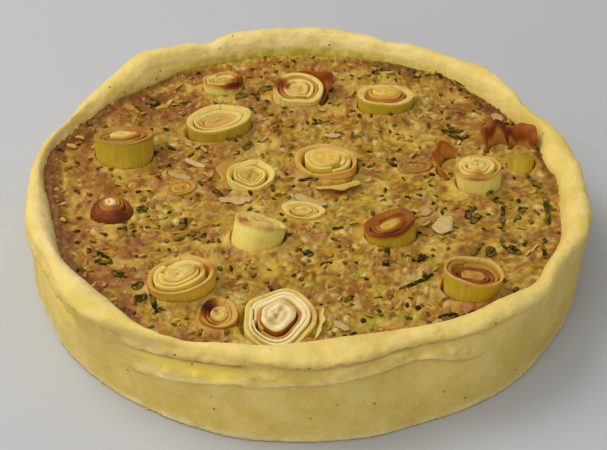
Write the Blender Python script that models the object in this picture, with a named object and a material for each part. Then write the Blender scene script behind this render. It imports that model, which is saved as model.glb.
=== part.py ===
"""A deep leek quiche, baked in a tall ring tin and taken out of it.

The pastry case is a hand-shaped cup of shortcrust. The baked filling fills it to a little under
the rim, and rolled leek rings and loose leek leaves stand in the filling. Every piece is one solid.

Units are metres and degrees. +Z is up, and the origin is at the middle of the case's underside.
Angles run anticlockwise from +X, seen from above.
"""

from dataclasses import dataclass
from math import cos, degrees, exp, radians, sin

import bmesh
import bpy
from mathutils import Matrix, Vector

MM = 0.001

# Driving dimensions of the pastry case
FOOT_RADIUS = 141.0 * MM  # outside of the wall where it stands
RIM_RADIUS = 140.0 * MM  # outside of the wall just under the rim
RIM_HEIGHT = 49.0 * MM
RIM_ROUNDING = 4.0 * MM  # how far the rounded rim drops to each side
FOOT_ROUNDING = 1.2 * MM
FLOOR_THICKNESS = 6.0 * MM
FLOOR_FILLET = 5.0 * MM
BRIM_RADIUS = 127.0 * MM  # inside of the wall, level with the filling's top
BRIM_SLOPE = 0.5  # how much the wall's inside widens over the filling, for each unit of height

# The dough folded over the outside of the rim, which ends in a ragged lip
LIP_LEVEL = 0.745  # as a share of the rim's height
LIP_ANGLE = -96.0
LIP_HALF_SWEEP = 58.0
LIP_OUT = 1.6 * MM

# Driving dimensions of the filling
FILLING_LEVEL = 40.0 * MM
FILLING_WAVE = 0.7 * MM
GAP = 0.4 * MM  # left between pieces that touch, so that they stay separate solids

# Driving dimensions of every leek ring and leaf
LEEK_BEVEL = 0.9 * MM  # the worn edge of a cut top
LEEK_GROOVE = 1.4 * MM  # between two rings of leaf
POCKET_REACH = 12.0 * MM  # how far a cutter stands over a ring's top, to clear the filling
SLIT_REACH = 2.0 * MM

CASE_SIDES = 64
LEEK_SIDES = 16
LEAF_SIDES = 8


@dataclass(frozen=True)
class Mark:
    """A swelling or a dent that a hand left in a ring of dough."""

    angle: float
    half_width: float
    out: float
    up: float = 0.0


RIM_MARKS = (
    Mark(131, 14, 5.0 * MM, 3.5 * MM),
    Mark(114, 6, -2.0 * MM, -2.5 * MM),
    Mark(98, 42, 2.0 * MM, 2.5 * MM),
    Mark(70, 6, -1.5 * MM, -2.0 * MM),
    Mark(45, 12, 1.5 * MM, 1.0 * MM),
    Mark(27, 14, -5.0 * MM, -1.0 * MM),
    Mark(-18, 13, 4.5 * MM, -0.5 * MM),
    Mark(-40, 12, 3.5 * MM, 0.0),
    Mark(-70, 18, -6.5 * MM, -1.0 * MM),
    Mark(-105, 14, -1.5 * MM, 0.5 * MM),
    Mark(-136, 18, 6.5 * MM, 0.5 * MM),
    Mark(-163, 10, 2.0 * MM, 0.0),
    Mark(159, 14, -3.0 * MM, 0.0),
)
FOOT_MARKS = (
    Mark(-103, 15, 1.2 * MM),
    Mark(-155, 14, -1.2 * MM),
    Mark(-68, 10, -1.2 * MM),
    Mark(-48, 14, 1.2 * MM),
)
BRIM_MARKS = (
    Mark(172, 26, 7.0 * MM, 3.0 * MM),
    Mark(147, 18, 1.5 * MM, 3.5 * MM),
    Mark(122, 16, 2.0 * MM, 0.5 * MM),
    Mark(8, 10, -3.5 * MM, 0.0),
    Mark(-20, 18, 4.5 * MM, 0.0),
    Mark(-37, 13, 5.5 * MM, 0.0),
    Mark(-78, 34, -9.5 * MM, 0.0),
    Mark(-120, 20, 7.5 * MM, 0.0),
    Mark(-152, 20, 4.5 * MM, 1.5 * MM),
)
BANK_WIDTH = 0.45  # share of the filling's radius over which a raised edge falls to its level


@dataclass(frozen=True)
class Leek:
    """A slice of leek that stands in the filling, as rings of leaf round a core."""

    name: str
    x: float  # the middle of its top
    y: float
    rise: float  # how far its top stands over the filling
    across: float
    oval: float = 1.0  # its short width as a share of the long one
    turn: float = 0.0  # the way its long width points
    lean: float = 0.0
    lean_to: float = 90.0
    core: float = 0.6 * MM  # how far the core stands over the outer rings
    taper: float = 0.06  # how much narrower it is at the bottom
    length: float = 20.0 * MM


LEEKS = (
    Leek("leek_tall_left", -0.0950, 0.0283, 0.0125, 0.0305, 0.95, 10, lean=15, core=1.5 * MM),
    Leek("leek_oval_green", -0.0473, 0.0513, 0.0075, 0.0365, 0.68, 22, lean=3, lean_to=120),
    Leek("leek_back_left", -0.0462, 0.0915, 0.0060, 0.0225, 0.85, 10, lean=8),
    Leek("leek_back_middle", -0.0035, 0.0815, 0.0080, 0.0270, 0.92, 160, lean=6, lean_to=60),
    Leek("leek_back_right", 0.0433, 0.0748, 0.0070, 0.0305, 0.82, 0, lean=6, core=2.0 * MM),
    Leek("leek_rose", -0.0285, 0.0053, 0.0045, 0.0240),
    Leek("leek_big_swirl", 0.0108, 0.0165, 0.0055, 0.0325, 0.86, 172),
    Leek("leek_white_barrel", 0.0868, 0.0022, 0.0110, 0.0230, 0.97, 0, lean=7, lean_to=150),
    Leek("leek_by_the_rim", 0.1110, 0.0195, 0.0075, 0.0140, 0.9, 150, lean=12, lean_to=110),
    Leek("leek_browned", 0.0403, -0.0395, 0.0075, 0.0255, 0.9, 20, lean=11, lean_to=140),
    Leek("leek_leaning", -0.0220, -0.0385, 0.0080, 0.0255, 0.95, 0, lean=27, lean_to=58),
    Leek("leek_yellow_swirl", -0.0594, -0.0778, 0.0075, 0.0310, 0.86, 24, lean=5, lean_to=180),
    Leek("leek_small_ring", -0.0395, -0.1015, 0.0045, 0.0170, 0.95),
    Leek(
        "leek_large_front", -0.0135, -0.1033, 0.0030, 0.0350, 1.0, 60,
        lean=5, lean_to=-90, core=2.2 * MM,
    ),
    Leek(
        "leek_cup", 0.0779, -0.0790, 0.0105, 0.0280, 0.92,
        lean=9, lean_to=40, core=-4.0 * MM, taper=0.2,
    ),
    Leek("leek_dark_knob", -0.0970, -0.0232, 0.0035, 0.0200, core=4.5 * MM, taper=0.25),
    Leek("leek_sunk_left", -0.0635, -0.0020, 0.0008, 0.0160, 0.7, 20),
    Leek("leek_sunk_middle", -0.0020, -0.0210, 0.0012, 0.0220, 0.6, 165),
    Leek("leek_sunk_right", 0.0560, 0.0165, 0.0008, 0.0190, 0.55, 10),
)


@dataclass(frozen=True)
class Leaf:
    """A curved piece of one leek leaf that has come away and stands on its edge."""

    name: str
    x: float  # the middle of the curve that it follows
    y: float
    radius: float
    start: float  # the curve's two ends, as angles
    end: float
    rise: float  # how far its edge stands over the filling
    flare: float = 1.0 * MM  # how far its edge leans out
    thickness: float = 1.6 * MM
    depth: float = 5.0 * MM


LEAVES = (
    Leaf("leaf_behind_middle", -0.0035, 0.0840, 0.0170, -38, 155, 0.0090, 2.0 * MM),
    Leaf("leaf_of_rose", -0.0285, 0.0053, 0.0155, 125, 215, 0.0030, 5.0 * MM),
    Leaf("leaf_of_big_swirl", 0.0135, 0.0130, 0.0185, -115, -8, 0.0028, 5.0 * MM),
    Leaf("leaf_by_barrel", 0.0790, 0.0140, 0.0105, 95, 235, 0.0100, 1.5 * MM),
    Leaf("leaf_burnt_left", 0.1030, 0.0295, 0.0080, 70, 215, 0.0120, 2.5 * MM),
    Leaf("leaf_burnt_right", 0.1130, 0.0300, 0.0060, -50, 130, 0.0130, 1.5 * MM),
    Leaf("leaf_by_large_front", -0.0130, -0.1030, 0.0190, -32, 18, 0.0025, 4.0 * MM),
)


def bell(share):
    """1 at 0, falling smoothly to almost 0 at 1."""
    return exp(-3.2 * share * share)


def apart(angle, other):
    """The difference of two angles, from -180 to 180."""
    return (angle - other + 180) % 360 - 180


def pushed(angle, marks, way):
    """What all the marks together add at an angle, outwards or upwards."""
    return sum(getattr(m, way) * bell(apart(angle, m.angle) / m.half_width) for m in marks)


def rim_height(angle):
    return RIM_HEIGHT + pushed(angle, RIM_MARKS, "up")


def outer_radius(angle, share):
    """The wall's outside, at a share of the rim's height."""
    foot = FOOT_RADIUS + pushed(angle, FOOT_MARKS, "out")
    rim = RIM_RADIUS + pushed(angle, RIM_MARKS, "out")
    return foot + (rim - foot) * share * share


def brim_radius(angle):
    return BRIM_RADIUS + pushed(angle, BRIM_MARKS, "out")


def brim_height(angle):
    """The filling's level where it meets the wall."""
    return FILLING_LEVEL + pushed(angle, BRIM_MARKS, "up")


def inner_radius(angle, height):
    """The wall's inside, which is upright behind the filling and widens over it."""
    return brim_radius(angle) + BRIM_SLOPE * max(0.0, height - brim_height(angle))


def lip(angle):
    """How strongly the fold shows at an angle, from 0 to 1."""
    return bell(apart(angle, LIP_ANGLE) / LIP_HALF_SWEEP)


def case_profile(angle):
    """Radius and height of each corner of the case's section, from the foot over the rim to the floor."""
    top = rim_height(angle)
    shoulder = top - RIM_ROUNDING
    fold = LIP_OUT * lip(angle)
    lip_radius = outer_radius(angle, LIP_LEVEL)
    foot, edge = outer_radius(angle, 0.0), outer_radius(angle, 1.0)
    inner, brim = inner_radius(angle, shoulder), brim_radius(angle)
    middle = 0.5 * (edge + inner)
    return (
        (foot - FOOT_ROUNDING, 0.0),
        (foot, FOOT_ROUNDING),
        (outer_radius(angle, 0.4), 0.4 * top),
        (lip_radius - 0.3 * fold, (LIP_LEVEL - 0.02) * top),
        (lip_radius + fold, (LIP_LEVEL + 0.01) * top),
        (outer_radius(angle, 0.85) - 0.2 * fold, 0.86 * top),
        (edge, shoulder),
        (0.75 * edge + 0.25 * middle, top - 0.25 * RIM_ROUNDING),
        (middle, top),
        (0.75 * inner + 0.25 * middle, top - 0.3 * RIM_ROUNDING),
        (inner, shoulder),
        (brim, brim_height(angle)),
        (brim, FLOOR_THICKNESS + FLOOR_FILLET),
        (brim - FLOOR_FILLET, FLOOR_THICKNESS),
    )


def filling_point(angle, share):
    """A point of the filling's top, at a share of the way out: low waves, with banked edges."""
    radius = (brim_radius(angle) - GAP) * share
    x, y = radius * cos(radians(angle)), radius * sin(radians(angle))
    waves = sin(61 * x + 1.3) * cos(53 * y - 0.4) + 0.6 * sin(97 * (x - y) + 2.0)
    bank = (brim_height(angle) - FILLING_LEVEL) * bell((1 - share) / BANK_WIDTH)
    return Vector((x, y, FILLING_LEVEL + bank + FILLING_WAVE * waves * (1 - share**8)))


def on_ring(angle, radius, height):
    return Vector((radius * cos(radians(angle)), radius * sin(radians(angle)), height))


def angles(count):
    return [360 * step / count for step in range(count)]


def finish(name, color, roughness):
    """A plain baked finish for one kind of piece."""
    material = bpy.data.materials.new(name)
    material.use_nodes = True
    shader = material.node_tree.nodes["Principled BSDF"]
    shader.inputs["Base Color"].default_value = (*color, 1.0)
    shader.inputs["Roughness"].default_value = roughness
    shader.inputs["Metallic"].default_value = 0.0
    return material


def lofted(name, loops, material):
    """One closed solid through a stack of closed loops, with a flat end on the first and the last."""
    shape = bmesh.new()
    rings = [[shape.verts.new(point) for point in loop] for loop in loops]
    for lower, upper in zip(rings, rings[1:]):
        for here, there in zip(range(len(lower)), [*range(1, len(lower)), 0]):
            shape.faces.new((lower[here], lower[there], upper[there], upper[here]))
    shape.faces.new(reversed(rings[0]))
    shape.faces.new(rings[-1])
    mesh = bpy.data.meshes.new(name)
    shape.to_mesh(mesh)
    shape.free()
    mesh.shade_smooth()
    mesh.set_sharp_from_angle(angle=radians(40))
    mesh.materials.append(material)
    obj = bpy.data.objects.new(name, mesh)
    bpy.context.scene.collection.objects.link(obj)
    return obj


def build_case(material):
    columns = [[on_ring(a, *corner) for corner in case_profile(a)] for a in angles(CASE_SIDES)]
    return lofted("pastry_case", list(zip(*columns)), material)


def build_filling(material):
    """The filling, a gap inside the case's wall and floor, with rings of points over its top."""
    sides = angles(CASE_SIDES)
    foot = FLOOR_THICKNESS + GAP
    loops = [
        [on_ring(a, brim_radius(a) - FLOOR_FILLET - GAP, foot) for a in sides],
        [on_ring(a, brim_radius(a) - GAP, foot + FLOOR_FILLET) for a in sides],
    ]
    for share in (1.0, 0.92, 0.72, 0.48, 0.22):
        loops.append([filling_point(a, share) for a in sides])
    return lofted("filling", loops, material)


def leek_frame(leek):
    """The leek's own axes: its top's middle is the origin, and +Z runs along the stalk."""
    place = Vector((leek.x, leek.y, FILLING_LEVEL + leek.rise))
    tip = Vector((-sin(radians(leek.lean_to)), cos(radians(leek.lean_to)), 0))
    return (
        Matrix.Translation(place)
        @ Matrix.Rotation(radians(leek.lean), 4, tip)
        @ Matrix.Rotation(radians(leek.turn), 4, "Z")
    )


def leek_loop(leek, frame, share, height, growth=0.0):
    """A ring of the leek, at a share of its half width, grown all round by a clearance."""
    long = 0.5 * leek.across * share + growth
    short = 0.5 * leek.across * leek.oval * share + growth
    return [
        frame @ Vector((long * cos(radians(a)), short * sin(radians(a)), height))
        for a in angles(LEEK_SIDES)
    ]


def build_leek(leek, material):
    """A stalk whose cut top has raised rings of leaf round its core."""
    frame = leek_frame(leek)
    groove = min(0.0, leek.core) - LEEK_GROOVE
    profile = (
        (1.0 - leek.taper, -leek.length),
        (1.0, -LEEK_BEVEL),
        (0.93, 0.0),
        (0.80, groove * 0.8),
        (0.64, 0.6 * leek.core),
        (0.48, groove),
        (0.26, leek.core),
    )
    loops = [leek_loop(leek, frame, share, height) for share, height in profile]
    return lofted(leek.name, loops, material)


def leek_pocket(leek):
    """What the leek takes out of the filling, with a gap all round."""
    frame = leek_frame(leek)
    loops = [
        leek_loop(leek, frame, 1.0 - leek.taper, -leek.length - GAP, GAP),
        leek_loop(leek, frame, 1.0, -LEEK_BEVEL, GAP),
        leek_loop(leek, frame, 1.0, POCKET_REACH, GAP),
    ]
    return lofted("pocket_of_" + leek.name, loops, None)


def leaf_loop(leaf, height, out, growth=0.0):
    """The outline of the leaf seen from above, at one height, grown all round by a clearance."""
    spare = degrees(growth / leaf.radius)
    start, sweep = leaf.start - spare, leaf.end - leaf.start + 2 * spare
    along = [start + sweep * step / LEAF_SIDES for step in range(LEAF_SIDES + 1)]
    half = 0.5 * leaf.thickness + growth
    outer = [on_ring(a, leaf.radius + out + half, height) for a in along]
    inner = [on_ring(a, leaf.radius + out - half, height) for a in reversed(along)]
    return [Vector((leaf.x, leaf.y, 0)) + point for point in outer + inner]


def leaf_loops(leaf, growth=0.0, reach=0.0):
    """The leaf's outlines from its foot to its upper edge, which flares outwards."""
    return [
        leaf_loop(leaf, FILLING_LEVEL - leaf.depth - growth, 0.0, growth),
        leaf_loop(leaf, FILLING_LEVEL + 0.4 * leaf.rise, 0.3 * leaf.flare, growth),
        leaf_loop(leaf, FILLING_LEVEL + leaf.rise + reach, leaf.flare, growth),
    ]


def cut(body, cutter):
    """Takes the cutter's shape out of the body, and puts the cutter out of the model."""
    trim = body.modifiers.new(cutter.name, "BOOLEAN")
    trim.operation = "DIFFERENCE"
    trim.solver = "EXACT"
    trim.object = cutter
    cutter.hide_render = True
    cutter.display_type = "WIRE"


def main():
    for old in list(bpy.data.objects):
        bpy.data.objects.remove(old)
    pastry = finish("pastry", (0.80, 0.61, 0.24), 0.65)
    custard = finish("custard", (0.42, 0.25, 0.07), 0.55)
    leek_flesh = finish("leek_flesh", (0.72, 0.60, 0.20), 0.40)
    browned_leaf = finish("browned_leaf", (0.42, 0.17, 0.03), 0.45)

    build_case(pastry)
    filling = build_filling(custard)
    for leek in LEEKS:
        build_leek(leek, leek_flesh)
        cut(filling, leek_pocket(leek))
    for leaf in LEAVES:
        lofted(leaf.name, leaf_loops(leaf), browned_leaf)
        cut(filling, lofted("slit_of_" + leaf.name, leaf_loops(leaf, GAP, SLIT_REACH), None))


main()
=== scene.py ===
"""A deep leek and ham quiche, out of its tin, dressed for the studio.

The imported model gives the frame. Each piece of it is replaced by a detailed one: the hand-shaped
pastry case, the baked filling, every round of leek with its layers, and the loose leaves. Ham,
chives, herbs, onion and crumbs are added as joined meshes.

Lengths are metres and angles are degrees, anticlockwise from +X seen from above.
"""

import logging
from collections.abc import Callable, Sequence
from dataclasses import dataclass, field
from enum import Enum
from math import cos, pi, radians, sin
from typing import ClassVar

import bpy
import numpy as np
from mathutils import Matrix, Vector

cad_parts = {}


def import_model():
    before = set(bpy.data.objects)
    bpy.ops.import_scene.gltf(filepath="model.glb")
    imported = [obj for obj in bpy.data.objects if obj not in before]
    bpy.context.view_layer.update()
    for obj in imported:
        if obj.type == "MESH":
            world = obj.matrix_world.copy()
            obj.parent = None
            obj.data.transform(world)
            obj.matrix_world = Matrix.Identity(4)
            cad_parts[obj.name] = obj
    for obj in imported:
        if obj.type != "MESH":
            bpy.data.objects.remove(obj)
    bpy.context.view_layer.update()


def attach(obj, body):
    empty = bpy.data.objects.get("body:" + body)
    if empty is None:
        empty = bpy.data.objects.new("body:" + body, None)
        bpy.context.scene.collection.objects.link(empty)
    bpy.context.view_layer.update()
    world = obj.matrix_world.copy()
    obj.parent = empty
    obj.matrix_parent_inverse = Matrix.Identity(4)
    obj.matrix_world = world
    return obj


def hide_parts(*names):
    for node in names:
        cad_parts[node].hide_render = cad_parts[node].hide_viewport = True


LOG = logging.getLogger("quiche")
MM = 0.001
BODY = "root"
UP = np.array((0.0, 0.0, 1.0))

Colour = tuple[float, float, float]


# ---------------------------------------------------------------- small maths


def tone(red: int, green: int, blue: int) -> Colour:
    """Turns a colour as a screen gives it into the share of light that a surface sends back.

    Args:
        red: Red, from 0 to 255.
        green: Green, from 0 to 255.
        blue: Blue, from 0 to 255.

    Returns:
        The three shares, from 0 to 1.
    """
    shares = [step / 255 for step in (red, green, blue)]
    return tuple(s / 12.92 if s <= 0.04045 else ((s + 0.055) / 1.055) ** 2.4 for s in shares)


def bell(share: np.ndarray) -> np.ndarray:
    """Gives 1 at 0, falling smoothly to almost 0 at 1 and at -1."""
    return np.exp(-3.2 * np.square(share))


def apart(angle: np.ndarray, other: float) -> np.ndarray:
    """Gives the difference of two angles, from -180 to 180."""
    return (angle - other + 180) % 360 - 180


def eased(value: np.ndarray, low: float | np.ndarray, high: float | np.ndarray) -> np.ndarray:
    """Rises smoothly from 0 where the value is low to 1 where it is high."""
    share = np.clip((value - low) / (high - low), 0.0, 1.0)
    return share * share * (3 - 2 * share)


def blended(first: np.ndarray, second: np.ndarray, share: np.ndarray) -> np.ndarray:
    """Mixes two rows of colours or points by a share for each row."""
    return first + (second - first) * share[..., None]


class Grain:
    """Smooth unevenness that can be read at any point, and is the same each time."""

    CELLS = 48

    def __init__(self, seed: int) -> None:
        """Draws the lattice that the unevenness runs between.

        Args:
            seed: Which of the possible lattices.
        """
        self.lattice = np.random.default_rng(seed).uniform(-1.0, 1.0, (self.CELLS,) * 3)

    def at(self, points: np.ndarray, size: float) -> np.ndarray:
        """Reads one layer of unevenness.

        Args:
            points: Rows of three coordinates.
            size: The length from one lump to the next.

        Returns:
            A value from -1 to 1 for each row.
        """
        scaled = points / size
        corner = np.floor(scaled).astype(int)
        part = scaled - corner
        part = part * part * (3 - 2 * part)
        total = np.zeros(points.shape[:-1])
        for step in np.ndindex(2, 2, 2):
            cell = (corner + step) % self.CELLS
            weight = np.prod(np.where(np.array(step) == 1, part, 1 - part), axis=-1)
            total += weight * self.lattice[cell[..., 0], cell[..., 1], cell[..., 2]]
        return total

    def layered(self, points: np.ndarray, size: float, layers: int = 3) -> np.ndarray:
        """Adds finer and weaker layers to the first, each half as large as the last.

        Args:
            points: Rows of three coordinates.
            size: The size of the coarsest layer.
            layers: How many layers there are.

        Returns:
            A value for each row, mostly from -1 to 1.
        """
        return sum(self.at(points + 0.37 * n, size * 0.5**n) * 0.55**n for n in range(layers))


class Lumps:
    """Rounded lumps that fill the plane like mince, each with its own height and kind."""

    CELLS = 96

    def __init__(self, size: float, seed: int) -> None:
        """Draws every lump's middle, height and kind.

        Args:
            size: The length from one lump to the next.
            seed: Which of the possible sets.
        """
        self.size = size
        self.draws = np.random.default_rng(seed).random((self.CELLS, self.CELLS, 4))

    def at(self, points: np.ndarray) -> tuple[np.ndarray, np.ndarray, np.ndarray]:
        """Finds the lump that each point is on.

        Args:
            points: Rows of coordinates, of which the first two count.

        Returns:
            How far each point is from its lump's seam, then the lump's height and kind, from 0 to 1.
        """
        scaled = points[:, :2] / self.size
        corner = np.floor(scaled).astype(int)
        nearest = np.full(len(points), 9.0)
        second = nearest.copy()
        facts = np.zeros((len(points), 2))
        for step in np.ndindex(3, 3):
            cell = corner + step - 1
            drawn = self.draws[cell[:, 0] % self.CELLS, cell[:, 1] % self.CELLS]
            away = np.hypot(*(cell + drawn[:, :2] - scaled).T)
            closer = away < nearest
            second = np.where(closer, nearest, np.minimum(second, away))
            facts = np.where(closer[:, None], drawn[:, 2:], facts)
            nearest = np.where(closer, away, nearest)
        return np.clip(second - nearest, 0, 1), facts[:, 0], facts[:, 1]


# ---------------------------------------------------------------- meshes


@dataclass
class Patch:
    """Points with the faces between them, and what the finish needs to know at each point."""

    points: np.ndarray
    faces: list[list[int]]
    looks: dict[str, np.ndarray] = field(default_factory=dict)

    def volume(self) -> float:
        """Gives the signed volume, which is below 0 if the faces point inwards."""
        total = 0.0
        for size in {len(face) for face in self.faces}:
            ring = self.points[np.array([face for face in self.faces if len(face) == size])]
            for corner in range(1, size - 1):
                cross = np.cross(ring[:, corner], ring[:, corner + 1])
                total += float(np.einsum("ij,ij->i", ring[:, 0], cross).sum())
        return total / 6

    def outward(self) -> "Patch":
        """Turns the faces round if they point inwards."""
        if self.volume() < 0:
            self.faces = [face[::-1] for face in self.faces]
        return self


def joined(patches: Sequence[Patch]) -> Patch:
    """Puts patches that carry the same looks into one.

    Args:
        patches: The patches.

    Returns:
        One patch with all their points and faces.
    """
    faces: list[list[int]] = []
    start = 0
    for patch in patches:
        faces += [[start + corner for corner in face] for face in patch.faces]
        start += len(patch.points)
    looks = {name: np.concatenate([p.looks[name] for p in patches]) for name in patches[0].looks}
    return Patch(np.concatenate([p.points for p in patches]), faces, looks)


def woven(rows: int, columns: int, round_rows: bool, round_columns: bool) -> list[list[int]]:
    """Lays faces of four corners over points that stand in rows and columns.

    Args:
        rows: How many rows of points there are.
        columns: How many points each row has.
        round_rows: Whether the last row joins the first.
        round_columns: Whether each row's last point joins its first.

    Returns:
        The faces.
    """
    row = np.arange(rows if round_rows else rows - 1)[:, None]
    column = np.arange(columns if round_columns else columns - 1)[None, :]
    below, beside = (row + 1) % rows, (column + 1) % columns
    corners = (
        row * columns + column,
        row * columns + beside,
        below * columns + beside,
        below * columns + column,
    )
    return np.stack(corners, axis=-1).reshape(-1, 4).tolist()


def lofted(rings: np.ndarray, looks: dict[str, np.ndarray]) -> Patch:
    """Joins closed rings of points into a closed skin, with a fan over the first and the last.

    Args:
        rings: The points, as rings, points of a ring, coordinates.
        looks: The values of each look, as rings and points of a ring.

    Returns:
        The skin, facing outwards.
    """
    count, sides = rings.shape[:2]
    ends = np.stack([rings[0].mean(axis=0), rings[-1].mean(axis=0)])
    faces = woven(count, sides, False, True)
    for pole, ring in ((count * sides, 0), (count * sides + 1, count - 1)):
        for side in range(sides):
            here, there = ring * sides + side, ring * sides + (side + 1) % sides
            faces.append([there, here, pole] if ring == 0 else [here, there, pole])
    flat = {}
    for name, values in looks.items():
        rest = values.shape[2:]
        poles = np.stack([values[0].mean(axis=0), values[-1].mean(axis=0)])
        flat[name] = np.concatenate([values.reshape(-1, *rest), poles])
    return Patch(np.concatenate([rings.reshape(-1, 3), ends]), faces, flat).outward()


def moved(points: np.ndarray, frame: Matrix) -> np.ndarray:
    """Carries points from their own axes to the model's."""
    turn = np.array(frame.to_3x3())
    return points @ turn.T + np.array(frame.translation)


def made_object(name: str, patch: Patch, material: bpy.types.Material) -> bpy.types.Object:
    """Makes a patch into an object of the scene, shaded smooth.

    Args:
        name: The object's name.
        patch: Its points, faces and looks.
        material: Its finish.

    Returns:
        The object, which stands where its points are.
    """
    mesh = bpy.data.meshes.new(name)
    mesh.from_pydata(patch.points.tolist(), [], patch.faces)
    for look, values in patch.looks.items():
        kind, key = ("FLOAT", "value") if values.ndim == 1 else ("FLOAT_VECTOR", "vector")
        layer = mesh.attributes.new(look, kind, "POINT")
        layer.data.foreach_set(key, values.astype(np.float32).ravel())
    mesh.validate()
    mesh.shade_smooth()
    mesh.materials.append(material)
    obj = bpy.data.objects.new(name, mesh)
    bpy.context.scene.collection.objects.link(obj)
    return obj


def serve(obj: bpy.types.Object, slot: str, *nodes: str) -> None:
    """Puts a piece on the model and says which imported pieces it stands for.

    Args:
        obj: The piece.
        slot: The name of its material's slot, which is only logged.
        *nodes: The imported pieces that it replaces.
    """
    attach(obj, BODY)
    if nodes:
        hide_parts(*nodes)
    LOG.info("%s: %d faces, slot %s, for %s", obj.name, len(obj.data.polygons), slot, nodes or "itself")


# ---------------------------------------------------------------- shader nodes


class Socket:
    """A value that a shader node gives, which plain arithmetic turns into more nodes."""

    def __init__(self, shading: "Shading", output: bpy.types.NodeSocket) -> None:
        """Wraps a node's output.

        Args:
            shading: The material that the node belongs to.
            output: The output.
        """
        self.shading = shading
        self.output = output

    def maths(self, operation: str, *values: "Socket | float") -> "Socket":
        """Adds a Math node that works on the values given."""
        return self.shading.node(
            "ShaderNodeMath", {"operation": operation}, dict(enumerate(values))
        )

    def __add__(self, other: "Socket | float") -> "Socket":
        """Adds another value to this one."""
        return self.maths("ADD", self, other)

    def __radd__(self, other: float) -> "Socket":
        """Adds this value to a number."""
        return self.maths("ADD", other, self)

    def __sub__(self, other: "Socket | float") -> "Socket":
        """Takes another value from this one."""
        return self.maths("SUBTRACT", self, other)

    def __rsub__(self, other: float) -> "Socket":
        """Takes this value from a number."""
        return self.maths("SUBTRACT", other, self)

    def __mul__(self, other: "Socket | float") -> "Socket":
        """Multiplies this value by another."""
        return self.maths("MULTIPLY", self, other)

    def __rmul__(self, other: float) -> "Socket":
        """Multiplies a number by this value."""
        return self.maths("MULTIPLY", other, self)

    def __pow__(self, power: float) -> "Socket":
        """Raises this value to a power."""
        return self.maths("POWER", self, power)

    def rise(self, low: float, high: float) -> "Socket":
        """Rises smoothly from 0 where this value is low to 1 where it is high.

        Args:
            low: Where the rise starts.
            high: Where it ends. It may be under low, for a fall.

        Returns:
            A value from 0 to 1.
        """
        return self.shading.node(
            "ShaderNodeMapRange",
            {"interpolation_type": "SMOOTHSTEP"},
            {"Value": self, "From Min": low, "From Max": high},
        )


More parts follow.
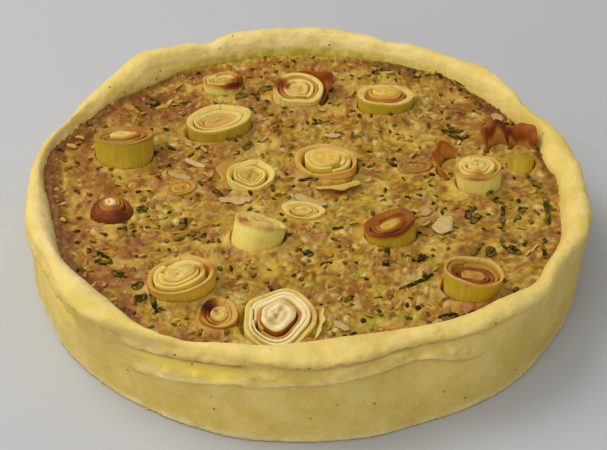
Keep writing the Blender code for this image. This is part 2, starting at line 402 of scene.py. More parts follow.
class Shading:
    """The nodes of one material, round its Principled shader."""

    def __init__(self, name: str) -> None:
        """Starts a material that holds only its shader.

        Args:
            name: The material's name.
        """
        self.material = bpy.data.materials.new(name)
        self.material.use_nodes = True
        self.tree = self.material.node_tree
        self.shader = self.tree.nodes["Principled BSDF"]

    def node(
        self,
        kind: str,
        settings: dict[str, object] | None = None,
        sockets: dict[int | str, object] | None = None,
        output: int | str = 0,
    ) -> Socket:
        """Adds a node.

        Args:
            kind: The node's type.
            settings: Its settings, which are set first. "stops" are a ramp's places and colours.
            sockets: The number, colour or link of each input, by name or place.
            output: Which of its outputs is wanted.

        Returns:
            That output.
        """
        made = self.tree.nodes.new(kind)
        for name, value in (settings or {}).items():
            if name == "stops":
                self.set_stops(made.color_ramp, value)
            else:
                setattr(made, name, value)
        for place, value in (sockets or {}).items():
            self.feed(made.inputs[place], value)
        return Socket(self, made.outputs[output])

    def set_stops(self, ramp: bpy.types.ColorRamp, stops: Sequence[tuple[float, Colour]]) -> None:
        """Gives a ramp its colours."""
        while len(ramp.elements) < len(stops):
            ramp.elements.new(1.0)
        for element, (place, colour) in zip(ramp.elements, stops):
            element.position = place
            element.color = (*colour, 1.0)

    def feed(self, target: bpy.types.NodeSocket, value: object) -> None:
        """Links a value to an input, or sets the input to a number or a colour."""
        if isinstance(value, Socket):
            self.tree.links.new(value.output, target)
        elif target.type == "RGBA":
            target.default_value = (*value, 1.0)
        else:
            target.default_value = value

    def place(self) -> Socket:
        """Gives each point's own place on the model."""
        return self.node("ShaderNodeTexCoord", output="Object")

    def look(self, name: str, output: str = "Fac") -> Socket:
        """Gives a value that the mesh holds at its points.

        Args:
            name: The look's name.
            output: "Fac" for a number, "Vector" or "Color" for three.

        Returns:
            The value.
        """
        settings = {"attribute_type": "GEOMETRY", "attribute_name": name}
        return self.node("ShaderNodeAttribute", settings, output=output)

    def noise(
        self, size: float, detail: float = 2.0, where: Socket | None = None, warp: float = 0.0
    ) -> Socket:
        """Adds soft noise.

        Args:
            size: The length from one lump to the next.
            detail: How many finer layers it has.
            where: The coordinates, or none for the place on the model.
            warp: How strongly it is twisted.

        Returns:
            A value round 0.5.
        """
        sockets = {
            "Vector": where or self.place(),
            "Scale": 1.0 / size,
            "Detail": detail,
            "Distortion": warp,
        }
        return self.node("ShaderNodeTexNoise", sockets=sockets)

    def cells(self, size: float, where: Socket | None = None, output: str = "Distance") -> Socket:
        """Adds cells about the size given, with the distance to their middles or their colours."""
        sockets = {"Vector": where or self.place(), "Scale": 1.0 / size}
        return self.node("ShaderNodeTexVoronoi", sockets=sockets, output=output)

    def ramp(self, value: Socket, stops: Sequence[tuple[float, Colour]]) -> Socket:
        """Turns a value into colours."""
        return self.node("ShaderNodeValToRGB", {"stops": stops}, {"Fac": value}, "Color")

    def mix(
        self, amount: Socket | float, low: Socket | Colour, high: Socket | Colour, way: str = "MIX"
    ) -> Socket:
        """Mixes two colours.

        Args:
            amount: 0 for the first, 1 for the second.
            low: The first.
            high: The second.
            way: The Mix node's way of blending.

        Returns:
            The mixed colour.
        """
        settings = {"data_type": "RGBA", "blend_type": way, "clamp_factor": True}
        return self.node("ShaderNodeMix", settings, {0: amount, 6: low, 7: high}, 2)

    def bump(self, height: Socket, depth: float, strength: float = 1.0) -> Socket:
        """Turns a height from 0 to 1 into a relief that is so deep."""
        sockets = {"Height": height, "Distance": depth, "Strength": strength}
        return self.node("ShaderNodeBump", sockets=sockets, output="Normal")

    def finish(self, **sockets: object) -> bpy.types.Material:
        """Sets the shader's own inputs.

        Args:
            **sockets: The inputs, with _ for each space in their names.

        Returns:
            The material.
        """
        for name, value in sockets.items():
            self.feed(self.shader.inputs[name.replace("_", " ")], value)
        return self.material


# ---------------------------------------------------------------- finishes


@dataclass(frozen=True)
class PastryFinish:
    """Baked shortcrust: pale and dry, duller where hands worked it, yellow where it is egg-rich.

    Painted light brightens the yellow bands and the rim's crest and inner slope. Painted shade darkens the lines
    under the folds, the pits and part of the tan where hands worked it.
    """

    pale: Colour = tone(238, 208, 120)
    dull: Colour = tone(222, 192, 92)
    yolk_and_painted_light: Colour = tone(255, 222, 100)
    floury_and_painted_light: Colour = tone(243, 222, 158)
    handled_and_painted_shade: Colour = tone(206, 164, 98)
    # Painted shade colour for the dark lines under the folds.
    painted_crease_shade: Colour = tone(104, 80, 22)
    stained: Colour = tone(184, 166, 54)
    toasted: Colour = tone(200, 132, 52)
    painted_pit_shade: Colour = tone(120, 88, 34)
    roughness: float = 0.62

    def material(self) -> bpy.types.Material:
        """Makes the material, which reads the looks that the case's mesh holds."""
        s = Shading("baked_shortcrust")
        colour = s.mix(s.noise(22 * MM, 3.0).rise(0.36, 0.66), self.pale, self.dull)
        colour = s.mix(s.noise(4 * MM, 3.0).rise(0.45, 0.75) * 0.2, colour, self.floury_and_painted_light)
        colour = s.mix(s.noise(1.1 * MM, 2.0).rise(0.5, 0.8) * 0.30, colour, self.dull)
        patchy = s.noise(6 * MM, 3.0).rise(0.2, 0.7)
        colour = s.mix(s.look("dull") * patchy, colour, self.dull)
        # Egg-yellow bands, painted brighter than their colour as painted light where they face the lamp.
        colour = s.mix(s.look("yolk_and_painted_light"), colour, self.yolk_and_painted_light)
        # A tan tint where hands worked the dough, which also paints shade on the band under the rim's edge and on
        # a patch low at the front left.
        colour = s.mix(s.look("handled_and_painted_shade") * patchy, colour, self.handled_and_painted_shade)
        # Floured foot and flap edge, with painted light on the rim's crest and inner slope.
        colour = s.mix(s.look("flour_and_painted_light") * patchy, colour, self.floury_and_painted_light)
        colour = s.mix(s.look("stain") * patchy, colour, self.stained)
        colour = s.mix(s.look("toast"), colour, self.toasted)
        # Painted shade: a dark line under the lip, the left fold, the flap and the ledge.
        colour = s.mix(s.look("painted_crease_shade") * 0.7, colour, self.painted_crease_shade)
        # Small pits, dented by the bump and darkened with painted shade.
        pits = s.cells(7 * MM).rise(0.105, 0.06) * s.noise(15 * MM).rise(0.5, 0.56)
        colour = s.mix(pits * 0.75, colour, self.painted_pit_shade)
        fine = s.noise(0.9 * MM, 3.0)
        height = fine * 0.6 + s.noise(3.5 * MM, 2.0) * 0.8 - pits * 1.4
        return s.finish(
            Base_Color=colour,
            Roughness=self.roughness + fine * 0.12,
            Normal=s.bump(height, 0.5 * MM, 1.0),
            Subsurface_Weight=0.12,
            Subsurface_Radius=(1.0, 0.55, 0.2),
            Subsurface_Scale=1.5 * MM,
            Specular_IOR_Level=0.2,
        )


@dataclass(frozen=True)
class CustardFinish:
    """The baked top of the filling: set egg, minced ham in it, browned towards the edges.

    Shade is painted into the seams between the lumps.
    """

    cream: Colour = tone(218, 180, 80)
    painted_crevice_shade: Colour = tone(92, 52, 12)
    olive: Colour = tone(140, 124, 36)
    green: Colour = tone(48, 46, 14)
    brown: Colour = tone(148, 76, 14)
    dark: Colour = tone(84, 42, 8)

    def material(self) -> bpy.types.Material:
        """Makes the material, which reads each lump's colour and how browned and creamy it is.

        It also reads how deep each point lies in a seam, and darkens it there as painted shade.
        """
        s = Shading("baked_filling")
        toast, cream = s.look("toast"), s.look("cream")
        lump = s.look("tint", "Color")
        darker = s.mix(1.0, lump, (0.66, 0.56, 0.36), "MULTIPLY")
        colour = s.mix(s.noise(2.6 * MM, 3.0).rise(0.44, 0.66) * 0.8, lump, darker)
        colour = s.mix(s.noise(7 * MM, 2.0, warp=0.8).rise(0.56, 0.70) * 0.45, colour, self.olive)
        # Painted shade: the seams between the lumps are darkened where shade falls.
        colour = s.mix(s.look("hollow") * (0.75 - cream * 0.4), colour, self.painted_crevice_shade)
        flecks = s.noise(2.2 * MM, 2.0).rise(0.64, 0.74) * (1 - cream * 0.6)
        colour = s.mix(flecks * 0.5, colour, self.green)
        browned = toast * s.noise(3.4 * MM, 3.0).rise(0.34, 0.62)
        colour = s.mix(browned * 0.75, colour, self.brown)
        colour = s.mix(toast.rise(0.75, 1.1) * 0.6, colour, self.dark)
        colour = s.mix(cream * 0.75, colour, self.cream)
        fine = s.noise(1.5 * MM, 3.0)
        return s.finish(
            Base_Color=colour,
            Roughness=0.62 - s.noise(4 * MM, 2.0) * 0.3,
            Normal=s.bump(fine, 0.5 * MM, 0.55),
            Subsurface_Weight=0.15,
            Subsurface_Radius=(1.0, 0.5, 0.15),
            Subsurface_Scale=1.2 * MM,
            Specular_IOR_Level=0.24,
        )


class Lump(Enum):
    """The colours of what shows on top of the filling, with the share of it that each takes."""

    ROSE_HAM = (tone(146, 74, 28), 0.10)
    PINK_HAM = (tone(184, 118, 58), 0.12)
    PALE_HAM = (tone(204, 154, 86), 0.08)
    OCHRE = (tone(156, 106, 10), 0.14)
    GOLDEN = (tone(192, 146, 26), 0.18)
    CUSTARD = (tone(210, 170, 54), 0.17)
    CURD = (tone(228, 200, 124), 0.08)
    LEEK = (tone(172, 154, 40), 0.13)


class Flesh(Enum):
    """The colours of cooked leek leaf, from the white of the root to the green of the top."""

    WHITE = tone(244, 224, 172)
    CREAM = tone(222, 192, 104)
    STRAW = tone(206, 162, 78)
    YELLOW = tone(224, 186, 70)
    LEMON = tone(196, 164, 56)
    PALE_GREEN = tone(172, 150, 46)
    GREEN = tone(166, 142, 28)
    OLIVE = tone(140, 114, 20)
    HAZEL = tone(160, 116, 40)
    TAN = tone(186, 128, 46)
    AMBER = tone(162, 92, 22)
    RUSSET = tone(122, 54, 12)


@dataclass(frozen=True)
class LeekFinish:
    """Cooked leek: moist, with fine strands along the stalk, browned where it stood up to the heat."""

    name: str = "cooked_leek"
    gold: Colour = tone(200, 136, 42)
    orange: Colour = tone(166, 90, 12)
    brown: Colour = tone(112, 50, 4)
    burnt: Colour = tone(56, 20, 3)
    pale_strand: Colour = tone(238, 212, 138)
    gloss: float = 0.44

    def material(self) -> bpy.types.Material:
        """Makes the material, which reads each layer's colour, its browning and its strands."""
        s = Shading(self.name)
        strands = s.noise(1.0, 2.0, where=s.look("strand", "Vector"))
        broad = s.noise(4 * MM, 3.0)
        tint = s.look("tint", "Color")
        colour = s.mix(strands.rise(0.50, 0.80) * 0.3, tint, self.pale_strand)
        dark = s.mix(1.0, tint, (0.72, 0.64, 0.38), "MULTIPLY")
        colour = s.mix(strands.rise(0.50, 0.26) * 0.45, colour, dark)
        colour = s.mix(broad.rise(0.52, 0.30) * 0.3, colour, dark)
        heat = s.look("toast") + (broad - 0.5) * 0.30 + (strands - 0.5) * 0.18
        heat = heat * s.look("toast").rise(0.0, 0.12)
        scorched = s.ramp(
            heat,
            (
                (0.10, self.gold),
                (0.42, self.orange),
                (0.72, self.brown),
                (1.0, self.burnt),
            ),
        )
        colour = s.mix(heat.rise(0.04, 0.46), colour, scorched)
        return s.finish(
            Base_Color=colour,
            Roughness=self.gloss + broad * 0.2,
            Normal=s.bump(strands, 0.25 * MM, 0.5),
            Subsurface_Weight=0.45,
            Subsurface_Radius=(1.0, 0.75, 0.2),
            Subsurface_Scale=2.4 * MM,
            Specular_IOR_Level=0.22,
        )


@dataclass(frozen=True)
class MorselFinish:
    """Small things in the filling, each with its own colour in the mesh."""

    name: str
    roughness: float
    mottle: float
    grain: float
    film: float = 0.0
    gloss: float = 0.26
    custard: Colour = tone(196, 152, 54)

    def material(self) -> bpy.types.Material:
        """Makes the material, which varies each piece's colour and lays a film of custard on it."""
        s = Shading(self.name)
        tint = s.look("tint", "Color")
        dark = s.mix(1.0, tint, (0.56, 0.46, 0.34), "MULTIPLY")
        mottle = s.noise(self.grain, 3.0)
        colour = s.mix(mottle.rise(0.45, 0.7) * self.mottle, tint, dark)
        colour = s.mix(s.noise(4 * MM, 3.0).rise(0.42, 0.58) * self.film, colour, self.custard)
        return s.finish(
            Base_Color=colour,
            Roughness=self.roughness + mottle * 0.15,
            Normal=s.bump(mottle, 0.3 * MM, 0.5),
            Subsurface_Weight=0.1,
            Subsurface_Radius=(1.0, 0.5, 0.3),
            Subsurface_Scale=0.8 * MM,
            Specular_IOR_Level=self.gloss,
        )


@dataclass(frozen=True)
class FloorFinish:
    """A plain pale studio floor."""

    colour: Colour = (0.50, 0.50, 0.51)

    def material(self) -> bpy.types.Material:
        """Makes the matt material, with a trace of unevenness."""
        s = Shading("studio_floor")
        lighter = tuple(share * 1.06 for share in self.colour)
        colour = s.mix(s.noise(60 * MM, 3.0), self.colour, lighter)
        return s.finish(Base_Color=colour, Roughness=0.85)


# ---------------------------------------------------------------- the pastry case


@dataclass(frozen=True)
class Mark:
    """A swelling or a dent that a hand left in a ring of dough, in degrees and millimetres."""

    angle: float
    half_width: float
    out: float
    up: float = 0.0


def pushed(angle: np.ndarray, marks: Sequence[Mark], way: str) -> np.ndarray:
    """Adds up what marks do at each angle.

    Args:
        angle: The angles.
        marks: The marks.
        way: "out" or "up".

    Returns:
        The sum, in metres.
    """
    total = np.zeros(np.shape(angle))
    for mark in marks:
        total = total + getattr(mark, way) * MM * bell(apart(angle, mark.angle) / mark.half_width)
    return total


@dataclass(frozen=True)
class Fold:
    """A line on the wall where dough was turned over: it stands proud over the line.

    Angles are degrees and lengths millimetres. The proud dough falls back to the wall over its
    reach, and a hollow runs under the line.
    """

    line: tuple[tuple[float, float], ...]
    proud: float
    reach: float
    hollow: float = 0.0
    hollow_reach: float = 4.0
    sharp: float = 0.6
    ragged: float = 0.5
    fade: float = 5.0

    def run(self, angle: np.ndarray) -> tuple[np.ndarray, np.ndarray]:
        """Gives the line's height and how strongly it shows at each angle."""
        places, heights = np.array(self.line, float).T
        middle = 0.5 * (places[0] + places[-1])
        unrolled = middle + apart(angle, middle)
        ends = eased(unrolled, places[0] - self.fade, places[0] + self.fade)
        ends = ends * eased(unrolled, places[-1] + self.fade, places[-1] - self.fade)
        return np.interp(unrolled, places, heights) * MM, ends

    def relief(self, angle: np.ndarray, height: np.ndarray, rough: np.ndarray) -> np.ndarray:
        """Works out how far the wall stands out.

        Args:
            angle: The angle of each point.
            height: Its height.
            rough: Its unevenness, from -1 to 1.

        Returns:
            The outward shift of each point.
        """
        level, ends = self.run(angle)
        over = height - level - self.ragged * MM * rough
        proud = eased(over, -0.5 * self.sharp * MM, 0.5 * self.sharp * MM)
        proud = proud * (1 - eased(over, 0.2 * self.reach * MM, self.reach * MM))
        hollow = bell(np.minimum(over, 0) / (self.hollow_reach * MM)) * (over < 0)
        return ends * MM * (self.proud * proud * (0.85 + 0.45 * rough) - self.hollow * hollow)

    def band(
        self, angle: np.ndarray, height: np.ndarray, rough: np.ndarray, low: float, high: float
    ) -> np.ndarray:
        """Gives 1 in the band from low to high, in millimetres over the line."""
        level, ends = self.run(angle)
        over = (height - level) / MM - self.ragged * rough
        soft = 0.3 * (high - low)
        return ends * eased(over, low - soft, low + soft) * eased(over, high + soft, high - soft)


@dataclass(frozen=True)
class Crack:
    """A short crack or notch: its middle, its half lengths each way and its depth in millimetres."""

    angle: float
    height: float
    half_across: float
    half_up: float
    depth: float
    slant: float = 0.0

    def relief(self, angle: np.ndarray, height: np.ndarray) -> np.ndarray:
        """Works out how far the crack takes the wall in, from its place along the wall."""
        up = height / MM - self.height
        across = apart(angle, self.angle) * 2.45 - self.slant * up
        return -self.depth * MM * bell(across / self.half_across) * bell(up / self.half_up)


@dataclass
class Case:
    """The hand-shaped shortcrust case, from the foot over the rim and down behind the filling."""

    foot_radius: float = 141 * MM
    rim_radius: float = 140 * MM
    rim_height: float = 49 * MM
    rim_rounding: float = 4 * MM
    foot_rounding: float = 1.2 * MM
    floor: float = 6 * MM
    fillet: float = 5 * MM
    brim_across: float = 127 * MM
    brim_slope: float = 0.5
    filling_level: float = 40 * MM
    sides: int = 640
    wall_rows: int = 72
    rim_rows: int = 26
    inner_rows: int = 12
    rim_marks: tuple[Mark, ...] = (
        Mark(131, 14, 5.0, 3.5),
        Mark(114, 6, -2.0, -2.5),
        Mark(98, 42, 2.0, 2.5),
        Mark(70, 6, -1.5, -2.0),
        Mark(45, 12, 1.5, 1.0),
        Mark(27, 14, -5.0, -1.0),
        Mark(-18, 13, 4.5, -0.5),
        Mark(-40, 12, 3.5, 0.0),
        Mark(-70, 18, -6.5, -1.0),
        Mark(-105, 14, -1.5, 0.5),
        Mark(-136, 18, 6.5, 0.5),
        Mark(-163, 10, 2.0, 0.0),
        Mark(159, 14, -3.0, 0.0),
    )
    foot_marks: tuple[Mark, ...] = (
        Mark(-103, 15, 1.2),
        Mark(-155, 14, -1.2),
        Mark(-68, 10, -1.2),
        Mark(-48, 14, 1.2),
    )
    brim_marks: tuple[Mark, ...] = (
        Mark(172, 26, 7.0, 3.0),
        Mark(147, 18, 1.5, 3.5),
        Mark(122, 16, 2.0, 0.5),
        Mark(8, 10, -3.5, 0.0),
        Mark(-20, 18, 4.5, 0.0),
        Mark(-37, 13, 5.5, 0.0),
        Mark(-78, 34, -9.5, 0.0),
        Mark(-120, 20, 7.5, 0.0),
        Mark(-152, 20, 4.5, 1.5),
    )
    left_crease: Fold = Fold(
        ((-188, 36.5), (-170, 37.5), (-155, 38.0), (-145, 38.5), (-138, 39.5)),
        proud=1.8, reach=8, hollow=1.6, hollow_reach=12, fade=2.0,
    )
    lip: Fold = Fold(
        ((-124, 38.0), (-119, 39.6), (-110, 42.0), (-102, 43.6)),
        proud=2.2, reach=6, hollow=1.8, hollow_reach=4, sharp=0.7, ragged=0.2, fade=2.5,
    )
    flap: Fold = Fold(
        (
            (-124, 24), (-117, 26), (-110, 29.5), (-102, 33), (-99, 33), (-93, 35.6),
            (-86, 36.7), (-81, 37.4), (-69, 37.7), (-61, 34.0), (-56, 32),
        ),
        proud=2.4, reach=9, hollow=0.5, hollow_reach=5, sharp=0.9, ragged=1.7, fade=4.0,
    )
    ledge: Fold = Fold(
        ((-96, 45.2), (-80, 45.2), (-62, 45.0), (-46, 45.2)),
        proud=1.0, reach=5, hollow=0.8, hollow_reach=2.0, ragged=1.0, fade=6.0,
    )
    right_flap: Fold = Fold(
        ((-13.6, 42.0), (-4, 43.5), (5, 45.0)),
        proud=1.6, reach=8, hollow=0.4, ragged=0.3, fade=1.2,
    )
    cracks: tuple[Crack, ...] = (
        Crack(-136.5, 44.0, 0.9, 3.2, 1.8, 0.5),
        Crack(-138.0, 39.0, 2.6, 1.0, 1.6),
        Crack(-88.0, 44.6, 0.6, 2.4, 1.3),
        Crack(-102.0, 36.0, 0.7, 9.0, 0.8),
        Crack(-116.0, 40.6, 1.6, 0.9, 1.2),
        Crack(-79.0, 41.0, 14.0, 3.0, 0.9),
        Crack(-67.0, 41.5, 9.0, 2.6, 0.8),
        Crack(-62.0, 39.0, 3.0, 8.0, -1.0),
        Crack(-53.0, 42.0, 14.0, 2.2, 1.0),
        Crack(29.0, 47.0, 1.4, 4.0, 1.5, -0.3),
        Crack(123.5, 46.0, 1.8, 5.0, 1.6, 0.4),
    )
    grain: Grain = field(default_factory=lambda: Grain(11))

    def top(self, angle: np.ndarray) -> np.ndarray:
        """Gives the rim's height."""
        return self.rim_height + pushed(angle, self.rim_marks, "up")

    def outside(self, angle: np.ndarray, share: np.ndarray) -> np.ndarray:
        """Gives the wall's outer radius at a share of the rim's height."""
        foot = self.foot_radius + pushed(angle, self.foot_marks, "out")
        rim = self.rim_radius + pushed(angle, self.rim_marks, "out")
        return foot + (rim - foot) * share * share

    def brim(self, angle: np.ndarray) -> np.ndarray:
        """Gives the radius at which the filling meets the wall."""
        return self.brim_across + pushed(angle, self.brim_marks, "out")

    def brim_level(self, angle: np.ndarray) -> np.ndarray:
        """Gives the height at which the filling meets the wall."""
        return self.filling_level + pushed(angle, self.brim_marks, "up")

    def section(self, angle: np.ndarray) -> tuple[np.ndarray, np.ndarray, np.ndarray, np.ndarray]:
        """Lays out the smooth case before any fold.

        Args:
            angle: The angles of the sections.

        Returns:
            The radius and the height of every point, as rows and angles, then for each row whether
            it belongs to the outer wall and how far over the rim it lies, from 0 to 1.
        """
        top, ones = self.top(angle), np.ones_like(angle)
        shoulder = top - self.rim_rounding
        foot, edge = self.outside(angle, 0 * ones), self.outside(angle, ones)
        brim, brim_level = self.brim(angle), np.minimum(self.brim_level(angle), shoulder)
        inner = brim + self.brim_slope * np.maximum(0, shoulder - brim_level)
        rows: list[tuple[np.ndarray, np.ndarray, float, float]] = []
        for share in (0.3, 0.6, 0.85, 0.97):
            rows.append((share * foot, 0 * ones, 0.0, 0.0))
        for turn in (0, 30, 60):
            bend = self.foot_rounding * np.array((sin(radians(turn)), cos(radians(turn))))
            rows.append((foot - self.foot_rounding + bend[0], self.foot_rounding - bend[1] * ones, 0.2, 0))
        for share in np.linspace(0, 1, self.wall_rows):
            height = self.foot_rounding + (shoulder - self.foot_rounding) * share
            rows.append((self.outside(angle, height / shoulder), height, 1.0, 0.0))
        middle, half = 0.5 * (edge + inner), 0.5 * (edge - inner)
        for step in range(1, self.rim_rows - 1):
            turn = pi * step / self.rim_rows
            across = cos(turn) ** 0.8 if turn < 0.5 * pi else cos(turn)
            swelling = sin(turn) ** 0.85 if turn < 0.5 * pi else 1 - across**2
            height = shoulder + self.rim_rounding * swelling
            rows.append((middle + half * across, height, float(turn < 0.5 * pi), step / self.rim_rows))
        for share in np.linspace(0.12, 1, self.inner_rows):
            rows.append((inner + (brim - inner) * share, shoulder + (brim_level - shoulder) * share, 0, 1))
        rows.append((brim, brim_level - 6 * MM, 0.0, 1.0))
        rows.append((brim, (self.floor + self.fillet) * ones, 0.0, 1.0))
        rows.append((brim - self.fillet, self.floor * ones, 0.0, 1.0))
        radius, height, wall, over = zip(*rows)
        return np.array(radius), np.array(height), np.array(wall), np.array(over)

    def patch(self) -> Patch:
        """Builds the case's skin with its folds, cracks and hand marks, and its looks."""
        angle = np.arange(self.sides) * 360 / self.sides
        radius, height, wall, over = self.section(angle)
        spread = np.broadcast_to(angle, radius.shape)
        wall = wall[:, None] * np.ones_like(radius)
        over = over[:, None] * np.ones_like(radius)
        ring = np.stack([radius * np.cos(np.radians(spread)), radius * np.sin(np.radians(spread))], -1)
        points = np.concatenate([ring, height[..., None]], axis=-1)
        rough = self.grain.layered(points, 7 * MM, 3)
        out = wall * self.outer_relief(spread, height, rough)
        shown = eased(height, 0.5 * MM, 3 * MM) * (radius > 0.8 * self.brim_across)
        shown = shown * (1 - (over >= 1) * eased(height, self.filling_level, self.filling_level - 4 * MM))
        swell = 0.9 * MM * self.grain.at(points, 26 * MM) + 0.28 * MM * rough
        swell = swell + 0.10 * MM * self.grain.layered(points + 1.0, 1.9 * MM, 2)
        rim = (over > 0) * (over < 1) * np.sin(pi * over)
        swell = swell + rim * 0.7 * MM * self.grain.layered(points + 3.0, 13 * MM, 2)
        along_r, along_z = np.gradient(radius, axis=0), np.gradient(height, axis=0)
        length = np.hypot(along_r, along_z) + 1e-9
        out_r = (out + shown * swell) * along_z / length
        out_z = (out + shown * swell) * -along_r / length
        radius, height = radius + out_r, np.maximum(height + out_z, 0.0)
        ring = np.stack([radius * np.cos(np.radians(spread)), radius * np.sin(np.radians(spread))], -1)
        points = np.concatenate([ring, height[..., None]], axis=-1)
        return lofted(points, self.looks(spread, points, wall, over, rough))

    def outer_relief(self, angle: np.ndarray, height: np.ndarray, rough: np.ndarray) -> np.ndarray:
        """Adds up the folds and cracks of the outer wall."""
        folds = (self.left_crease, self.lip, self.flap, self.ledge, self.right_flap)
        total = sum(fold.relief(angle, height, rough) for fold in folds)
        total = total + sum(crack.relief(angle, height) for crack in self.cracks)
        ragged_foot = eased(height, 2.5 * MM, 0.0) * 0.9 * MM * rough
        return total + ragged_foot

    def looks(
        self, angle: np.ndarray, points: np.ndarray, wall: np.ndarray, over: np.ndarray, rough: np.ndarray
    ) -> dict[str, np.ndarray]:
        """Works out where the pastry is dull, egg-yellow, tan where hands worked it, floured, stained or toasted.

        Painted light brightens the yellow bands and the rim's crest and inner slope; painted shade darkens the
        lines under the folds and part of the tan.
        """
        height = points[..., 2]
        patchy = 0.5 + 0.5 * self.grain.layered(points, 24 * MM, 3)
        place = (angle, height, rough)
        narrowing = np.interp(apart(angle, -112), (-16, 0, 12), (2.5, 7.0, 10.0))
        # The egg-yellow bands under the lip and in the left fold, also painted brighter as painted light.
        yolk_and_painted_light = self.lip.band(*place, -1 - narrowing, -1.0) + 0.8 * self.left_crease.band(*place, -13, -1)
        front = bell(apart(angle, -88) / 42)
        # Painted shade in narrow bands just under the folds' edges.
        painted_crease_shade = 1.2 * self.lip.band(*place, -2.0, 0.2) + 0.35 * self.left_crease.band(*place, -1.5, 0.5)
        painted_crease_shade = painted_crease_shade + 0.35 * self.flap.band(*place, -1.8, -0.2) + 0.3 * self.ledge.band(*place, -1.2, 0.1)
        flour_and_painted_light = 1.2 * self.flap.band(*place, 0.2, 2.6) * eased(rough, -0.6, 0.2)
        # Tan where hands worked the dough, partly painted shade under the rim's edge and in a patch low on the
        # left.
        handled_and_painted_shade = bell(apart(angle, -120) / 26) * bell((height - 42.5 * MM) / (4.5 * MM))
        handled_and_painted_shade = handled_and_painted_shade + 0.6 * bell(apart(angle, -128) / 9) * bell((height - 38 * MM) / (9 * MM))
        handled_and_painted_shade = handled_and_painted_shade + 0.4 * bell(apart(angle, -176) / 20) * bell((height - 40 * MM) / (5 * MM))
        handled_and_painted_shade = handled_and_painted_shade + 0.5 * front * bell((height - 46 * MM) / (3.5 * MM))
        inside = (over > 0.8) * eased(height, self.filling_level + 5.5 * MM, self.filling_level + 1.5 * MM)
        # Painted light: the rim's crest and inner slope are lightened at the left and the back, and a painted
        # highlight runs along the inner crest at the front left.
        crest = eased(over, 0.35, 0.6) * (0.95 * bell(apart(angle, -160) / 50) + 0.8 * bell(apart(angle, 90) / 75))
        crest = crest * (1 - inside) + 0.9 * bell(apart(angle, -118) / 48) * bell((over - 0.78) / 0.28)
        stain = 1.2 * inside * (0.25 + 0.75 * bell(apart(angle, 98) / 60))
        toast = inside * bell((height - self.filling_level) / (3 * MM)) * 0.5
        toast = toast * (bell(apart(angle, 5) / 40) + bell(apart(angle, 165) / 30)) * (rough > -0.2)
        looks = {
            "dull": wall * eased(patchy, 0.35, 0.75) * eased(height, 44 * MM, 30 * MM),
            "yolk_and_painted_light": wall * np.clip(yolk_and_painted_light, 0, 1),
            "handled_and_painted_shade": (over < 0.6) * np.clip(handled_and_painted_shade, 0, 1),
            "flour_and_painted_light": wall * (eased(height, 6 * MM, 1.5 * MM) + 0.4 * eased(patchy, 0.6, 0.9) + flour_and_painted_light) + crest,
            "painted_crease_shade": wall * np.clip(painted_crease_shade, 0, 1),
            "stain": stain,
            "toast": np.clip(toast, 0, 1),
        }
        return {name: np.broadcast_to(values, height.shape) for name, values in looks.items()}

    def build(self) -> None:
        """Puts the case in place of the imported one."""
        obj = made_object("shortcrust_case", self.patch(), PastryFinish().material())
        serve(obj, "pastry", "pastry_case")


# ---------------------------------------------------------------- rounds of leek


@dataclass(frozen=True)
class Coat:
    """One layer of leaf in a round of leek, from its outside in.

    The width is a share of the round's half width. up is how far its cut edge stands over the
    round's top, in millimetres, and toast how browned that edge is, from 0 to 1.
    """

    width: float
    up: float
    side: Flesh
    edge: Flesh
    toast: float = 0.1


@dataclass(frozen=True)
class Scorch:
    """A side of a round that browned more: which way it faces, how wide it is and how strong."""

    angle: float
    half_width: float
    strength: float


